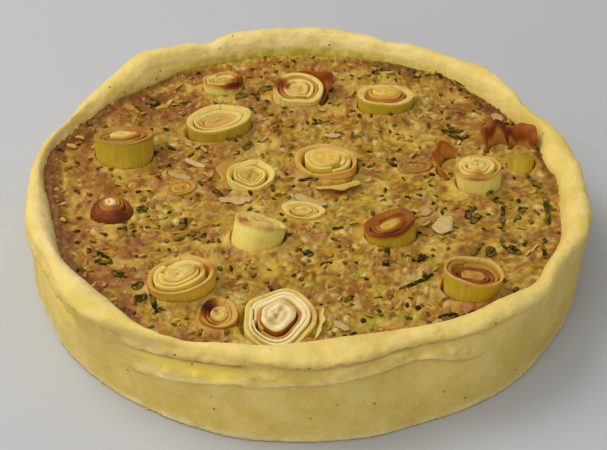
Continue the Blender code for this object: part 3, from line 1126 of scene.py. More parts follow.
@dataclass(frozen=True)
class Leek:
    """A round of leek that stands in the filling, as layers of leaf round a bud."""

    name: str
    x: float
    y: float
    rise: float
    across: float
    oval: float = 1.0
    turn: float = 0.0
    lean: float = 0.0
    lean_to: float = 90.0
    taper: float = 0.06
    length: float = 20 * MM
    coats: tuple[Coat, ...] = ()
    bud_up: float = 0.6
    bud: Flesh = Flesh.YELLOW
    bud_toast: float = 0.1
    bud_oval: float = 1.0
    bud_turns: float = 1.2
    bud_side: float = 0.0
    scorches: tuple[Scorch, ...] = ()
    wrap: float = 0.6
    wobble: float = 0.03
    wave: float = 0.35
    droop: float = 0.0
    toast_down: float = 1.3
    gap: float = 0.7
    gap_to: float = -15.0
    bank: float = 1.4
    bank_to: float = -90.0
    seam: float = 70.0
    gap_share: float = -0.012
    rounding: float = 0.55 * MM
    shingle: float = 0.5
    around: int = 84
    seed: int = 0
    # Painted light: the sides' colours are made half as bright again as the leek's flesh.
    SIDE_PAINTED_LIGHT: ClassVar[float] = 1.5

    def frame(self) -> Matrix:
        """Gives the round's own axes, whose origin is the middle of its top."""
        place = Vector((self.x, self.y, Case.filling_level + self.rise))
        tip = Vector((-sin(radians(self.lean_to)), cos(radians(self.lean_to)), 0))
        return (
            Matrix.Translation(place)
            @ Matrix.Rotation(radians(self.lean), 4, tip)
            @ Matrix.Rotation(radians(self.turn), 4, "Z")
        )

    def ripple(self, angle: np.ndarray, depth: float, seed: int) -> np.ndarray:
        """Gives an unevenness round the leek that changes slowly from layer to layer.

        Args:
            angle: The angles.
            depth: How far in the layer is, from 0 to 1.
            seed: Which of the ripples.

        Returns:
            Values mostly from -1 to 1.
        """
        draw = np.random.default_rng(1000 * seed + self.seed)
        total = np.zeros_like(angle)
        for waves in (1, 2, 3, 5):
            phase, drift = draw.uniform(0, 360), draw.uniform(-70, 70)
            total += np.sin(np.radians(waves * angle + phase + drift * depth)) / waves**0.6
        return 0.5 * total

    def ring(self, angle: np.ndarray, share: np.ndarray, height: np.ndarray) -> np.ndarray:
        """Places points at a share of the half width and a height in the leek's own axes."""
        narrowed = share * (1 + self.taper * np.minimum(height, 0) / self.length)
        oval = self.bud_oval * self.oval + (1 - self.bud_oval) * self.oval * np.clip(share, 0, 1)
        long = 0.5 * self.across * narrowed
        x, y = long * np.cos(np.radians(angle)), long * oval * np.sin(np.radians(angle))
        return np.stack([x, y, height + 0 * x], axis=-1)

    def heat(self, angle: np.ndarray, base: float) -> np.ndarray:
        """Gives the browning of an edge at each angle."""
        total = np.full_like(angle, base)
        for scorch in self.scorches:
            total += scorch.strength * bell(apart(angle + self.turn, scorch.angle) / scorch.half_width)
        return total

    def coat_patch(self, number: int, start: float, coat: Coat, step: float) -> Patch:
        """Builds one layer.

        Args:
            number: Its number, from the outside.
            start: The share of the half width where its outside is.
            coat: The layer's facts.
            step: How much higher the next layer stands, which this one climbs to if it is wrapped.

        Returns:
            The layer as a closed skin.
        """
        outermost = number == 0
        turn = np.linspace(0, 1, self.around, endpoint=self.wrap > 0)
        angle = self.seam + 40 * number + 360 * turn
        wind = self.wrap * turn * (0.0 if outermost else 1.0)
        width = coat.width * (1 + 0.4 * self.ripple(angle, number, 3))
        outer = start - wind * (coat.width + self.gap_share)
        outer = outer * (1 + self.wobble * self.ripple(angle, start, 1))
        inner = np.maximum(outer - width, 0.05)
        thick = width * 0.5 * self.across
        edge = coat.up * MM + wind * step + self.wave * MM * self.ripple(angle, start, 2)
        depth = self.length if outermost else 8 * MM
        rounding = np.minimum(0.4 * thick, self.rounding)
        outside = (1.0, 0.72, 0.5, 0.32, 0.18, 0.08) if outermost else (1.0, 0.5, 0.2)
        lip = edge - self.droop * MM * np.square(outer)
        columns = [(outer, lip - rounding - (depth + lip) * share, 0.0) for share in outside]
        crest = ((0.0, -1.0), (0.06, -0.45), (0.2, -0.08), (0.5, 0.0), (0.8, -0.08), (0.94, -0.45), (1.0, -1.0))
        for across, drop in crest:
            place = outer + (inner - outer) * across
            sloped = edge - self.shingle * MM * (across - 0.2) - self.droop * MM * np.square(place)
            columns.append((place, sloped + rounding * drop, 1.0))
        low = edge - rounding - 0.8 * self.shingle * MM - self.droop * MM * np.square(inner)
        columns += [(inner, low - down, 0.0) for down in (1.8 * MM, min(depth, 8 * MM))]
        rings = [self.ring(angle, share, height) for share, height, _ in columns]
        points = np.stack(rings, axis=1)
        ribs = 0.16 * MM * np.sin(np.radians(angle * 26)) * self.ripple(angle, 0.3, 4)
        rib = np.stack([np.cos(np.radians(angle)), np.sin(np.radians(angle)), 0 * angle], -1)
        for column in range(len(outside)):
            points[:, column] += rib * ribs[:, None] * outermost
        looks = self.coat_looks(number, angle, coat, edge, points, [c[2] for c in columns])
        if self.wrap > 0:
            count, sides = points.shape[:2]
            faces = woven(count, sides, False, True)
            faces += [list(range(sides))[::-1], [(count - 1) * sides + s for s in range(sides)]]
        else:
            faces = woven(*points.shape[:2], True, True)
        flat = {name: v.reshape(-1, *v.shape[2:]) for name, v in looks.items()}
        return Patch(points.reshape(-1, 3), faces, flat).outward()

    def coat_looks(
        self,
        number: int,
        angle: np.ndarray,
        coat: Coat,
        edge: np.ndarray,
        points: np.ndarray,
        crest: Sequence[float],
    ) -> dict[str, np.ndarray]:
        """Works out a layer's colour, browning and strands at each point, with painted light on its sides."""
        below = np.maximum(points[..., 2].max(axis=1)[:, None] - points[..., 2], 0)
        # The side colour is brightened as painted light.
        side, lip = self.SIDE_PAINTED_LIGHT * np.array(coat.side.value), np.array(coat.edge.value)
        at_edge = np.array(crest)[None, :] * np.ones_like(below)
        at_edge = np.maximum(at_edge, 1 - eased(below, 0.4 * MM, 2.2 * MM)) * 0.9
        tint = blended(side + 0 * points, lip + 0 * points, at_edge)
        pale_foot = eased(below, 4 * MM, 11 * MM) * 0.30
        tint = np.minimum(blended(tint, 1.5 * np.array(Flesh.LEMON.value) + 0 * points, pale_foot), 0.93)
        falling = np.exp(-np.square(below / (self.toast_down * MM)) * 0.5)
        heat = self.heat(angle, coat.toast)[:, None]
        heat = heat + 0.12 * self.ripple(angle, number, 5)[:, None]
        around = np.radians(angle)[:, None] * 0.5 * self.across / (1.2 * MM) + 0 * below
        out = np.hypot(points[..., 0], points[..., 1]) / (1.1 * MM)
        cut = np.array(crest)[None, :] > 0
        strand = [
            np.where(cut, out, around),
            np.where(cut, 0.06 * around, points[..., 2] / (14 * MM)),
            7.0 * number + self.seed + 0 * below,
        ]
        return {
            "tint": tint,
            "toast": np.clip(heat * falling, 0, 1.1),
            "strand": np.stack(strand, axis=-1),
        }

    def bud_patch(self, start: float) -> Patch:
        """Builds the tightly rolled heart as a dome with a spiral groove."""
        angle = np.linspace(0, 360, self.around, endpoint=False)
        shares = [start] * 3 + list(start * np.array((0.97, 0.86, 0.72, 0.58, 0.45, 0.32, 0.19, 0.08)))
        up = self.bud_up * MM
        drops = [-8 * MM, -3.5 * MM, -0.9 * MM, -0.35 * MM] + [0.0] * 7
        rings, looks = [], {"tint": [], "toast": [], "strand": []}
        for row, (share, drop) in enumerate(zip(shares, drops)):
            inward = 1 - share / max(start, 1e-6)
            groove = np.sin(np.radians(angle) - 2 * pi * self.bud_turns * inward)
            height = up + drop + (row > 3) * 0.30 * MM * groove * bell(inward * 0.8)
            height = height + self.wave * MM * self.ripple(angle, share, 2) - self.droop * MM * share**2
            wide = share * (1 + self.wobble * self.ripple(angle, share, 1))
            points = self.ring(angle, wide, height)
            rings.append(points)
            shade = np.clip(0.25 - 0.45 * groove * (row > 3), 0, 1)
            heat = self.heat(angle, self.bud_toast) * (0.5 if self.bud_toast < 0.3 else 1.0)
            if row < 3:
                heat = heat + self.bud_side
            looks["tint"].append(
                blended(
                    np.array(self.bud.value) + 0 * points, np.array(Flesh.STRAW.value) + 0 * points, shade
                )
            )
            looks["toast"].append(np.clip(heat * (0.75 + 0.6 * shade), 0, 1.1))
            strand = [share * 30 + 0 * angle, np.radians(angle), self.seed + 3 + 0 * angle]
            looks["strand"].append(np.stack(strand, axis=-1))
        stacked = {name: np.stack(values) for name, values in looks.items()}
        return lofted(np.stack(rings), stacked)

    def patch(self) -> Patch:
        """Builds the whole round in its place."""
        patches, start = [], 1.0
        ups = [coat.up for coat in self.coats] + [self.bud_up]
        for number, coat in enumerate(self.coats):
            step = (ups[number + 1] - coat.up) * MM
            patches.append(self.coat_patch(number, start, coat, step))
            start -= coat.width + self.gap_share
        patches.append(self.bud_patch(start - 0.01))
        whole = joined(patches)
        whole.points = moved(whole.points, self.frame())
        return whole

    def clearance(self, points: np.ndarray) -> np.ndarray:
        """Gives how far points are outside the round's side, below 0 inside it."""
        local = moved(points, self.frame().inverted())
        narrowed = 1 + self.taper * np.minimum(local[..., 2], 0) / self.length
        x = local[..., 0] / (0.5 * self.across * narrowed)
        y = local[..., 1] / (0.5 * self.across * self.oval * narrowed)
        share = np.hypot(x, y)
        return (share - 1) * np.hypot(local[..., 0], local[..., 1]) / np.maximum(share, 1e-6)

    def bearing(self, points: np.ndarray) -> np.ndarray:
        """Gives the direction from the round to each point."""
        return np.degrees(np.arctan2(points[..., 1] - self.y, points[..., 0] - self.x))

    def build(self, material: bpy.types.Material) -> None:
        """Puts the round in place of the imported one."""
        name = self.name.replace("leek_", "leek_round_")
        serve(made_object(name, self.patch(), material), "leek_flesh", self.name)


F = Flesh

LEEKS = (
    Leek(
        "leek_tall_left", -0.0950, 0.0283, 0.0125, 0.0305, 0.95, 14, 15,
        coats=(
            Coat(0.24, 0.0, F.GREEN, F.HAZEL, 0.16),
            Coat(0.16, -1.0, F.OLIVE, F.HAZEL, 0.16),
            Coat(0.16, -0.4, F.TAN, F.AMBER, 0.30),
        ),
        bud_up=0.7, bud=F.CREAM, bud_toast=0.04, bud_oval=0.34, wrap=0.6, gap=1.3, seed=1, bank=2.6,
        wobble=0.05, wave=0.6, scorches=(Scorch(40, 60, 0.10), Scorch(-90, 50, -0.10)),
    ),
    Leek(
        "leek_oval_green", -0.0473, 0.0513, 0.0075, 0.0365, 0.68, 22, 3, 120,
        coats=(
            Coat(0.23, 0.0, F.GREEN, F.CREAM, 0.02),
            Coat(0.18, -0.6, F.LEMON, F.CREAM, 0.04),
            Coat(0.15, -1.5, F.YELLOW, F.STRAW, 0.12),
        ),
        bud_up=-2.4, bud=F.STRAW, bud_toast=0.24, bud_oval=0.6, wrap=0.35, gap=1.2, seed=2, wobble=0.08,
        wave=0.5, shingle=1.0, scorches=(Scorch(-160, 40, 0.12),),
    ),
    Leek(
        "leek_back_left", -0.0462, 0.0915, 0.0060, 0.0225, 0.85, 10, 8,
        coats=(
            Coat(0.18, 0.0, F.CREAM, F.STRAW, 0.28),
            Coat(0.22, -0.2, F.YELLOW, F.CREAM, 0.10),
            Coat(0.16, -0.9, F.YELLOW, F.CREAM, 0.12),
        ),
        bud_up=-1.4, bud=F.LEMON, bud_toast=0.16, wrap=0.7, seed=3, toast_down=2.6, wobble=0.08,
        wave=0.7, shingle=0.9,
        scorches=(Scorch(-50, 60, 0.50), Scorch(10, 50, 0.46), Scorch(150, 50, -0.14)),
    ),
    Leek(
        "leek_back_middle", -0.0045, 0.0815, 0.0074, 0.0270, 0.95, 160, 9, -55,
        coats=(
            Coat(0.20, 0.0, F.CREAM, F.CREAM, 0.03),
            Coat(0.18, -1.0, F.CREAM, F.TAN, 0.20),
            Coat(0.20, -0.3, F.STRAW, F.CREAM, 0.03),
        ),
        bud_up=-0.7, bud=F.CREAM, bud_toast=0.12, wrap=0.5, gap=0.7, seed=4, bank=2.8, wobble=0.10,
        wave=1.1, scorches=(Scorch(165, 60, 0.44), Scorch(-100, 30, 0.12)),
    ),
    Leek(
        "leek_back_right", 0.0433, 0.0748, 0.0070, 0.0305, 0.82, 0, 6,
        coats=(
            Coat(0.24, 0.0, F.GREEN, F.CREAM, 0.03),
            Coat(0.14, -1.3, F.TAN, F.TAN, 0.30),
            Coat(0.14, 0.7, F.TAN, F.STRAW, 0.12),
        ),
        bud_up=1.8, bud=F.YELLOW, bud_toast=0.06, wrap=0.7, gap=0.8, seed=5, bank=2.2, wobble=0.05,
        wave=0.5, scorches=(Scorch(180, 60, 0.12),), gap_share=0.004,
    ),
    Leek(
        "leek_rose", -0.0285, 0.0053, 0.0045, 0.0240, 1.0,
        coats=(
            Coat(0.26, 0.0, F.CREAM, F.CREAM, 0.02),
            Coat(0.22, -0.3, F.YELLOW, F.CREAM, 0.02),
            Coat(0.18, -0.5, F.YELLOW, F.CREAM, 0.05),
        ),
        bud_up=-0.9, bud=F.LEMON, bud_toast=0.16, wrap=1.0, wobble=0.10, wave=1.1, gap=0.6, gap_to=170,
        seed=6, shingle=1.3, bank=2.0, scorches=(Scorch(170, 40, 0.14),),
    ),
    Leek(
        "leek_big_swirl", 0.0108, 0.0165, 0.0055, 0.0325, 0.86, 172,
        coats=(
            Coat(0.18, -0.3, F.STRAW, F.STRAW, 0.04),
            Coat(0.20, 0.0, F.YELLOW, F.CREAM, 0.03),
            Coat(0.18, 0.2, F.YELLOW, F.CREAM, 0.02),
        ),
        bud_up=0.9, bud=F.YELLOW, bud_toast=0.0, bud_oval=0.8, wrap=1.0, wobble=0.09, wave=0.8, seed=7,
        shingle=1.1, bank=2.0, scorches=(Scorch(80, 50, 0.20), Scorch(5, 34, 0.16), Scorch(-75, 22, 0.16)),
    ),
    Leek(
        "leek_white_barrel", 0.0868, 0.0022, 0.0110, 0.0230, 0.97, 0, 7, 150,
        coats=(
            Coat(0.13, -0.5, F.CREAM, F.STRAW, 0.10),
            Coat(0.24, 0.2, F.CREAM, F.CREAM, 0.0),
            Coat(0.22, 0.9, F.YELLOW, F.CREAM, 0.0),
        ),
        bud_up=1.1, bud=F.CREAM, bud_toast=0.0, bud_oval=0.8, wrap=0.9, seed=8, toast_down=0.7,
        bank=2.6, wobble=0.05, wave=0.6,
        scorches=(Scorch(-90, 60, 0.26), Scorch(0, 40, 0.12), Scorch(-170, 45, 0.24)),
    ),
    Leek(
        "leek_by_the_rim", 0.1110, 0.0195, 0.0060, 0.0140, 0.9, 150, 30, 95,
        coats=(
            Coat(0.26, 0.0, F.GREEN, F.PALE_GREEN, 0.10),
            Coat(0.24, 0.4, F.LEMON, F.HAZEL, 0.15),
        ),
        bud_up=0.8, bud=F.HAZEL, bud_toast=0.2, wrap=0.4, around=64, seed=9, bank=2.0,
    ),
    Leek(
        "leek_browned", 0.0403, -0.0395, 0.0075, 0.0255, 0.9, 20, 11, 140,
        coats=(
            Coat(0.24, 0.0, F.GREEN, F.TAN, 0.58),
            Coat(0.24, -0.8, F.TAN, F.TAN, 0.56),
            Coat(0.16, -1.3, F.TAN, F.HAZEL, 0.26),
        ),
        bud_up=-0.9, bud=F.LEMON, bud_toast=0.02, bud_oval=0.6, wrap=0.8, seed=10, toast_down=1.8,
        bank=2.2, gap=1.0, wobble=0.08, wave=0.7, shingle=1.0,
        scorches=(Scorch(-100, 60, 0.14), Scorch(90, 40, -0.12)),
    ),
    Leek(
        "leek_leaning", -0.0220, -0.0385, 0.0080, 0.0255, 0.95, 0, 27, 58, length=22 * MM,
        coats=(
            Coat(0.20, 0.0, F.CREAM, F.CREAM, 0.04),
            Coat(0.22, -0.2, F.CREAM, F.CREAM, 0.03),
        ),
        bud_up=-0.3, bud=F.CREAM, bud_toast=0.06, wrap=0.6, seed=11, toast_down=2.2, gap=1.6, bank=2.6,
        wobble=0.06, wave=0.7, scorches=(Scorch(-145, 65, 0.36), Scorch(-70, 30, 0.10)),
    ),
    Leek(
        "leek_yellow_swirl", -0.0594, -0.0778, 0.0075, 0.0310, 0.86, 24, 5, 180,
        coats=(
            Coat(0.16, -0.4, F.LEMON, F.STRAW, 0.05),
            Coat(0.20, 0.1, F.YELLOW, F.CREAM, 0.01),
            Coat(0.20, 0.3, F.YELLOW, F.CREAM, 0.0),
        ),
        bud_up=0.8, bud=F.CREAM, bud_toast=0.0, bud_oval=0.7, wrap=0.9, wobble=0.09, wave=0.8, seed=12,
        shingle=1.0, scorches=(Scorch(10, 45, 0.26), Scorch(-110, 55, 0.14)), toast_down=2.6, gap=1.0,
        bank=2.6,
    ),
    Leek(
        "leek_small_ring", -0.0395, -0.1010, 0.0036, 0.0175, 0.95, 0, 12, -60,
        coats=(
            Coat(0.30, 0.4, F.TAN, F.STRAW, 0.08),
            Coat(0.24, -1.2, F.TAN, F.STRAW, 0.12),
        ),
        bud_up=-0.5, bud=F.CREAM, bud_toast=0.0, wrap=0.3, around=72, seed=13, toast_down=3.0,
        wobble=0.08, wave=0.6, shingle=1.4,
        scorches=(Scorch(150, 75, 0.85), Scorch(-110, 30, 0.16)),
    ),
    Leek(
        "leek_large_front", -0.0135, -0.1033, 0.0030, 0.0350, 1.0, 45, 5, -90,
        coats=(
            Coat(0.12, -0.4, F.CREAM, F.CREAM, 0.0),
            Coat(0.09, 0.4, F.CREAM, F.WHITE, 0.02),
            Coat(0.10, 0.6, F.CREAM, F.WHITE, 0.02),
            Coat(0.12, -0.6, F.TAN, F.STRAW, 0.16),
        ),
        bud_up=1.9, bud=F.WHITE, bud_toast=0.0, bud_oval=0.66, bud_side=0.45, bud_turns=2.1,
        wrap=0.35, wobble=0.15, wave=1.6, seed=14, gap_share=0.010, shingle=0.9, bank=1.0,
        scorches=(Scorch(15, 45, 0.24), Scorch(-70, 35, 0.10)),
    ),
    Leek(
        "leek_cup", 0.0779, -0.0790, 0.0105, 0.0280, 0.92, 0, 9, 40, taper=0.2,
        coats=(
            Coat(0.10, 0.0, F.GREEN, F.STRAW, 0.04),
            Coat(0.14, -1.2, F.LEMON, F.HAZEL, 0.16),
            Coat(0.18, -2.8, F.TAN, F.TAN, 0.55),
            Coat(0.18, -3.2, F.TAN, F.TAN, 0.62),
        ),
        bud_up=-2.8, bud=F.TAN, bud_toast=0.26, bud_oval=0.6, wrap=0.6, gap=1.0, gap_to=180, seed=15,
        bank=2.6, wobble=0.07, wave=0.7,
    ),
    Leek(
        "leek_dark_knob", -0.0970, -0.0232, 0.0035, 0.0200, taper=0.0,
        coats=(
            Coat(0.42, 5.0, F.TAN, F.AMBER, 0.58),
            Coat(0.24, 4.9, F.TAN, F.AMBER, 0.34),
            Coat(0.22, 4.6, F.TAN, F.TAN, 0.20),
        ),
        bud_up=4.6, bud=F.WHITE, bud_toast=0.0, wrap=0.0, droop=5.4, around=72, seed=16, toast_down=7.0,
        gap=0.6, shingle=0.0, rounding=0.9 * MM, wobble=0.06, wave=0.5, gap_share=-0.06,
        scorches=(Scorch(-70, 90, 0.24), Scorch(60, 40, -0.14)),
    ),
    Leek(
        "leek_sunk_left", -0.0635, -0.0020, 0.0008, 0.0160, 0.7, 20, length=8 * MM, gap=0.0,
        coats=(Coat(0.34, -0.2, F.TAN, F.TAN, 0.04), Coat(0.26, -0.3, F.LEMON, F.LEMON, 0.04)),
        bud_up=-0.3, bud=F.TAN, bud_toast=0.05, around=64, seed=17, rounding=0.4 * MM, wobble=0.12,
        wave=0.6,
    ),
    Leek(
        "leek_sunk_middle", -0.0020, -0.0210, 0.0012, 0.0220, 0.6, 165, length=8 * MM, gap=0.0,
        coats=(Coat(0.30, 0.0, F.YELLOW, F.CREAM, 0.04), Coat(0.24, -0.3, F.LEMON, F.STRAW, 0.04)),
        bud_up=-0.2, bud=F.CREAM, bud_toast=0.05, around=72, seed=18, rounding=0.4 * MM, wobble=0.12,
        wave=0.6,
    ),
    Leek(
        "leek_sunk_right", 0.0560, 0.0165, 0.0008, 0.0190, 0.55, 10, length=8 * MM, gap=0.0,
        coats=(Coat(0.32, -0.1, F.TAN, F.HAZEL, 0.08), Coat(0.26, -0.4, F.TAN, F.HAZEL, 0.08)),
        bud_up=-0.3, bud=F.HAZEL, bud_toast=0.05, around=64, seed=19, rounding=0.4 * MM, wobble=0.12,
        wave=0.6,
    ),
)


# ---------------------------------------------------------------- loose leaves


@dataclass(frozen=True)
class Leaf:
    """A piece of leek leaf that came away from its round and curls out of the filling.

    It follows an arc round (x, y). Its section starts upright at the foot and bends outwards by
    the whole curl, in degrees, over the last share of its height.
    """

    name: str
    x: float
    y: float
    radius: float
    start: float
    end: float
    rise: float
    flare: float
    curl: float = 30.0
    thickness: float = 0.9 * MM
    depth: float = 5 * MM
    flesh: Flesh = Flesh.STRAW
    edge: Flesh = Flesh.TAN
    toast: float = 0.3
    foot_toast: float = 0.0
    spread: float = 1.0
    wave: float = 0.8
    taper: float = 0.55
    peak: float = 0.5
    burn_from: float = 0.55
    gap: float = 0.4
    seed: int = 0
    slot: str = "browned_leaf"
    along: int = 56
    up: int = 22

    def patch(self) -> Patch:
        """Builds the leaf as a thin closed skin."""
        draw = np.random.default_rng(self.seed + 500)
        share = np.linspace(0, 1, self.along)
        angle = self.start + (self.end - self.start) * share
        skewed = np.interp(share, (0, self.peak, 1), (0, 0.5, 1))
        rounded = np.maximum(1 - np.abs(2 * skewed - 1) ** 2.4, 0.0)
        full = self.taper + (1 - self.taper) * rounded
        phase = draw.uniform(0, 2 * pi, 3)
        ripple = sum(np.sin(2 * pi * (n + 1) * share + p) / (n + 1) for n, p in enumerate(phase))
        height = self.depth + self.rise * full + self.wave * MM * 0.5 * ripple
        bend_share = np.linspace(0, 1, self.up)
        lean = np.radians(self.curl) * np.square(bend_share)[None, :] * (0.75 + 0.25 * rounded)[:, None]
        lean = lean + 0.12 * ripple[:, None] * bend_share[None, :]
        step = 1.0 / (self.up - 1)
        upright, outward = np.cumsum(np.cos(lean) * step, 1), np.cumsum(np.sin(lean) * step, 1)
        scale = height / np.maximum(upright.max(axis=1), 0.35)
        out = outward * scale[:, None]
        out = out * min(self.spread, (self.flare + 3 * MM) / max(out.max(), 1e-6))
        out = out + 0.3 * MM * ripple[:, None]
        level = Case.filling_level - self.depth + upright * scale[:, None]
        half = 0.5 * self.thickness * (1 - 0.45 * bend_share)[None, :]
        half = half * (0.35 + 0.65 * np.minimum(1, 6 * np.minimum(share, 1 - share)))[:, None]
        normal_out, normal_up = np.cos(lean), -np.sin(lean)
        sheets = []
        for side in (1, -1):
            radius = self.radius + out + side * half * normal_out
            sheets.append(np.stack([radius, level + side * half * normal_up], axis=-1))
        loop = np.concatenate([sheets[0], sheets[1][:, ::-1]], axis=1)
        turn = np.radians(angle)[:, None]
        points = np.stack(
            [self.x + loop[..., 0] * np.cos(turn), self.y + loop[..., 0] * np.sin(turn), loop[..., 1]], -1
        )
        climb = np.concatenate([bend_share, bend_share[::-1]])[None, :] * np.ones((self.along, 1))
        return lofted(points, self.looks(points, climb, share, ripple))

    def looks(
        self, points: np.ndarray, climb: np.ndarray, share: np.ndarray, ripple: np.ndarray
    ) -> dict[str, np.ndarray]:
        """Works out the leaf's colour, browning and strands at each point."""
        at_edge = eased(climb, 0.55, 1.0)
        tint = blended(
            np.array(self.flesh.value) + 0 * points, np.array(self.edge.value) + 0 * points, at_edge
        )
        burn_from = self.burn_from + 0.10 * ripple[:, None]
        toast = self.toast * eased(climb, burn_from, burn_from + 0.3)
        toast = (toast + self.foot_toast * eased(climb, 0.7, 0.35)) * (1 + 0.25 * ripple[:, None])
        along = share[:, None] * self.radius * np.radians(self.end - self.start) / (0.8 * MM)
        strand = np.stack([along + 0 * climb, climb * 0.8, self.seed + 0 * climb], axis=-1)
        return {"tint": tint, "toast": np.clip(toast, 0, 1.05), "strand": strand}

    def clearance(self, points: np.ndarray) -> np.ndarray:
        """Gives roughly how far points are from the leaf."""
        x, y = points[..., 0] - self.x, points[..., 1] - self.y
        middle = 0.5 * (self.start + self.end)
        beyond = np.abs(apart(np.degrees(np.arctan2(y, x)), middle)) - 0.5 * (self.end - self.start)
        radius = np.hypot(x, y)
        beside = np.abs(radius - self.radius) - 0.5 * self.thickness
        return np.hypot(np.maximum(beside, 0), np.radians(np.maximum(beyond, 0)) * radius) + np.minimum(beside, 0)

    def build(self, material: bpy.types.Material) -> None:
        """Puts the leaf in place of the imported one."""
        name = self.name.replace("leaf_", "leek_leaf_")
        serve(made_object(name, self.patch(), material), self.slot, self.name)


LEAVES = (
    Leaf(
        "leaf_behind_middle", -0.0045, 0.0830, 0.0155, -36, 146, 0.0088, 2.0 * MM, curl=24,
        flesh=F.TAN, edge=F.RUSSET, toast=0.50, foot_toast=0.36, wave=2.8, seed=1, peak=0.36, taper=0.2,
        burn_from=0.3,
    ),
    Leaf(
        "leaf_of_rose", -0.0285, 0.0053, 0.0120, 120, 222, 0.0042, 5.0 * MM, curl=70,
        depth=3 * MM, spread=1.9, flesh=F.LEMON, edge=F.STRAW, toast=0.24, wave=0.9, seed=2,
        slot="leek_flesh", taper=0.3,
    ),
    Leaf(
        "leaf_of_big_swirl", 0.0120, 0.0140, 0.0150, -114, -36, 0.0034, 6.5 * MM, curl=96,
        depth=3 * MM, spread=1.9, flesh=F.YELLOW, edge=F.STRAW, toast=0.14, wave=1.0, seed=3,
        slot="leek_flesh", taper=0.24, burn_from=0.7,
    ),
    Leaf(
        "leaf_by_barrel", 0.0790, 0.0140, 0.0105, 95, 235, 0.0085, 2.0 * MM, curl=60,
        flesh=F.TAN, edge=F.AMBER, toast=0.42, foot_toast=0.1, wave=2.4, seed=4, burn_from=0.5,
    ),
    Leaf(
        "leaf_burnt_left", 0.1030, 0.0295, 0.0080, 45, 190, 0.0110, 2.5 * MM, curl=110,
        flesh=F.STRAW, edge=F.TAN, toast=0.62, foot_toast=0.20, wave=2.8, seed=5, peak=0.6,
        burn_from=0.3, taper=0.3,
    ),
    Leaf(
        "leaf_burnt_right", 0.1130, 0.0318, 0.0052, -10, 160, 0.0120, 1.5 * MM, curl=80,
        flesh=F.STRAW, edge=F.TAN, toast=0.60, foot_toast=0.22, wave=2.8, seed=6, peak=0.4,
        burn_from=0.3, taper=0.3,
    ),
    Leaf(
        "leaf_by_large_front", -0.0130, -0.1030, 0.0190, -36, 22, 0.0028, 4.0 * MM, curl=60,
        flesh=F.CREAM, edge=F.CREAM, toast=0.02, wave=0.4, seed=7, slot="leek_flesh", taper=0.3,
    ),
)


# ---------------------------------------------------------------- the filling


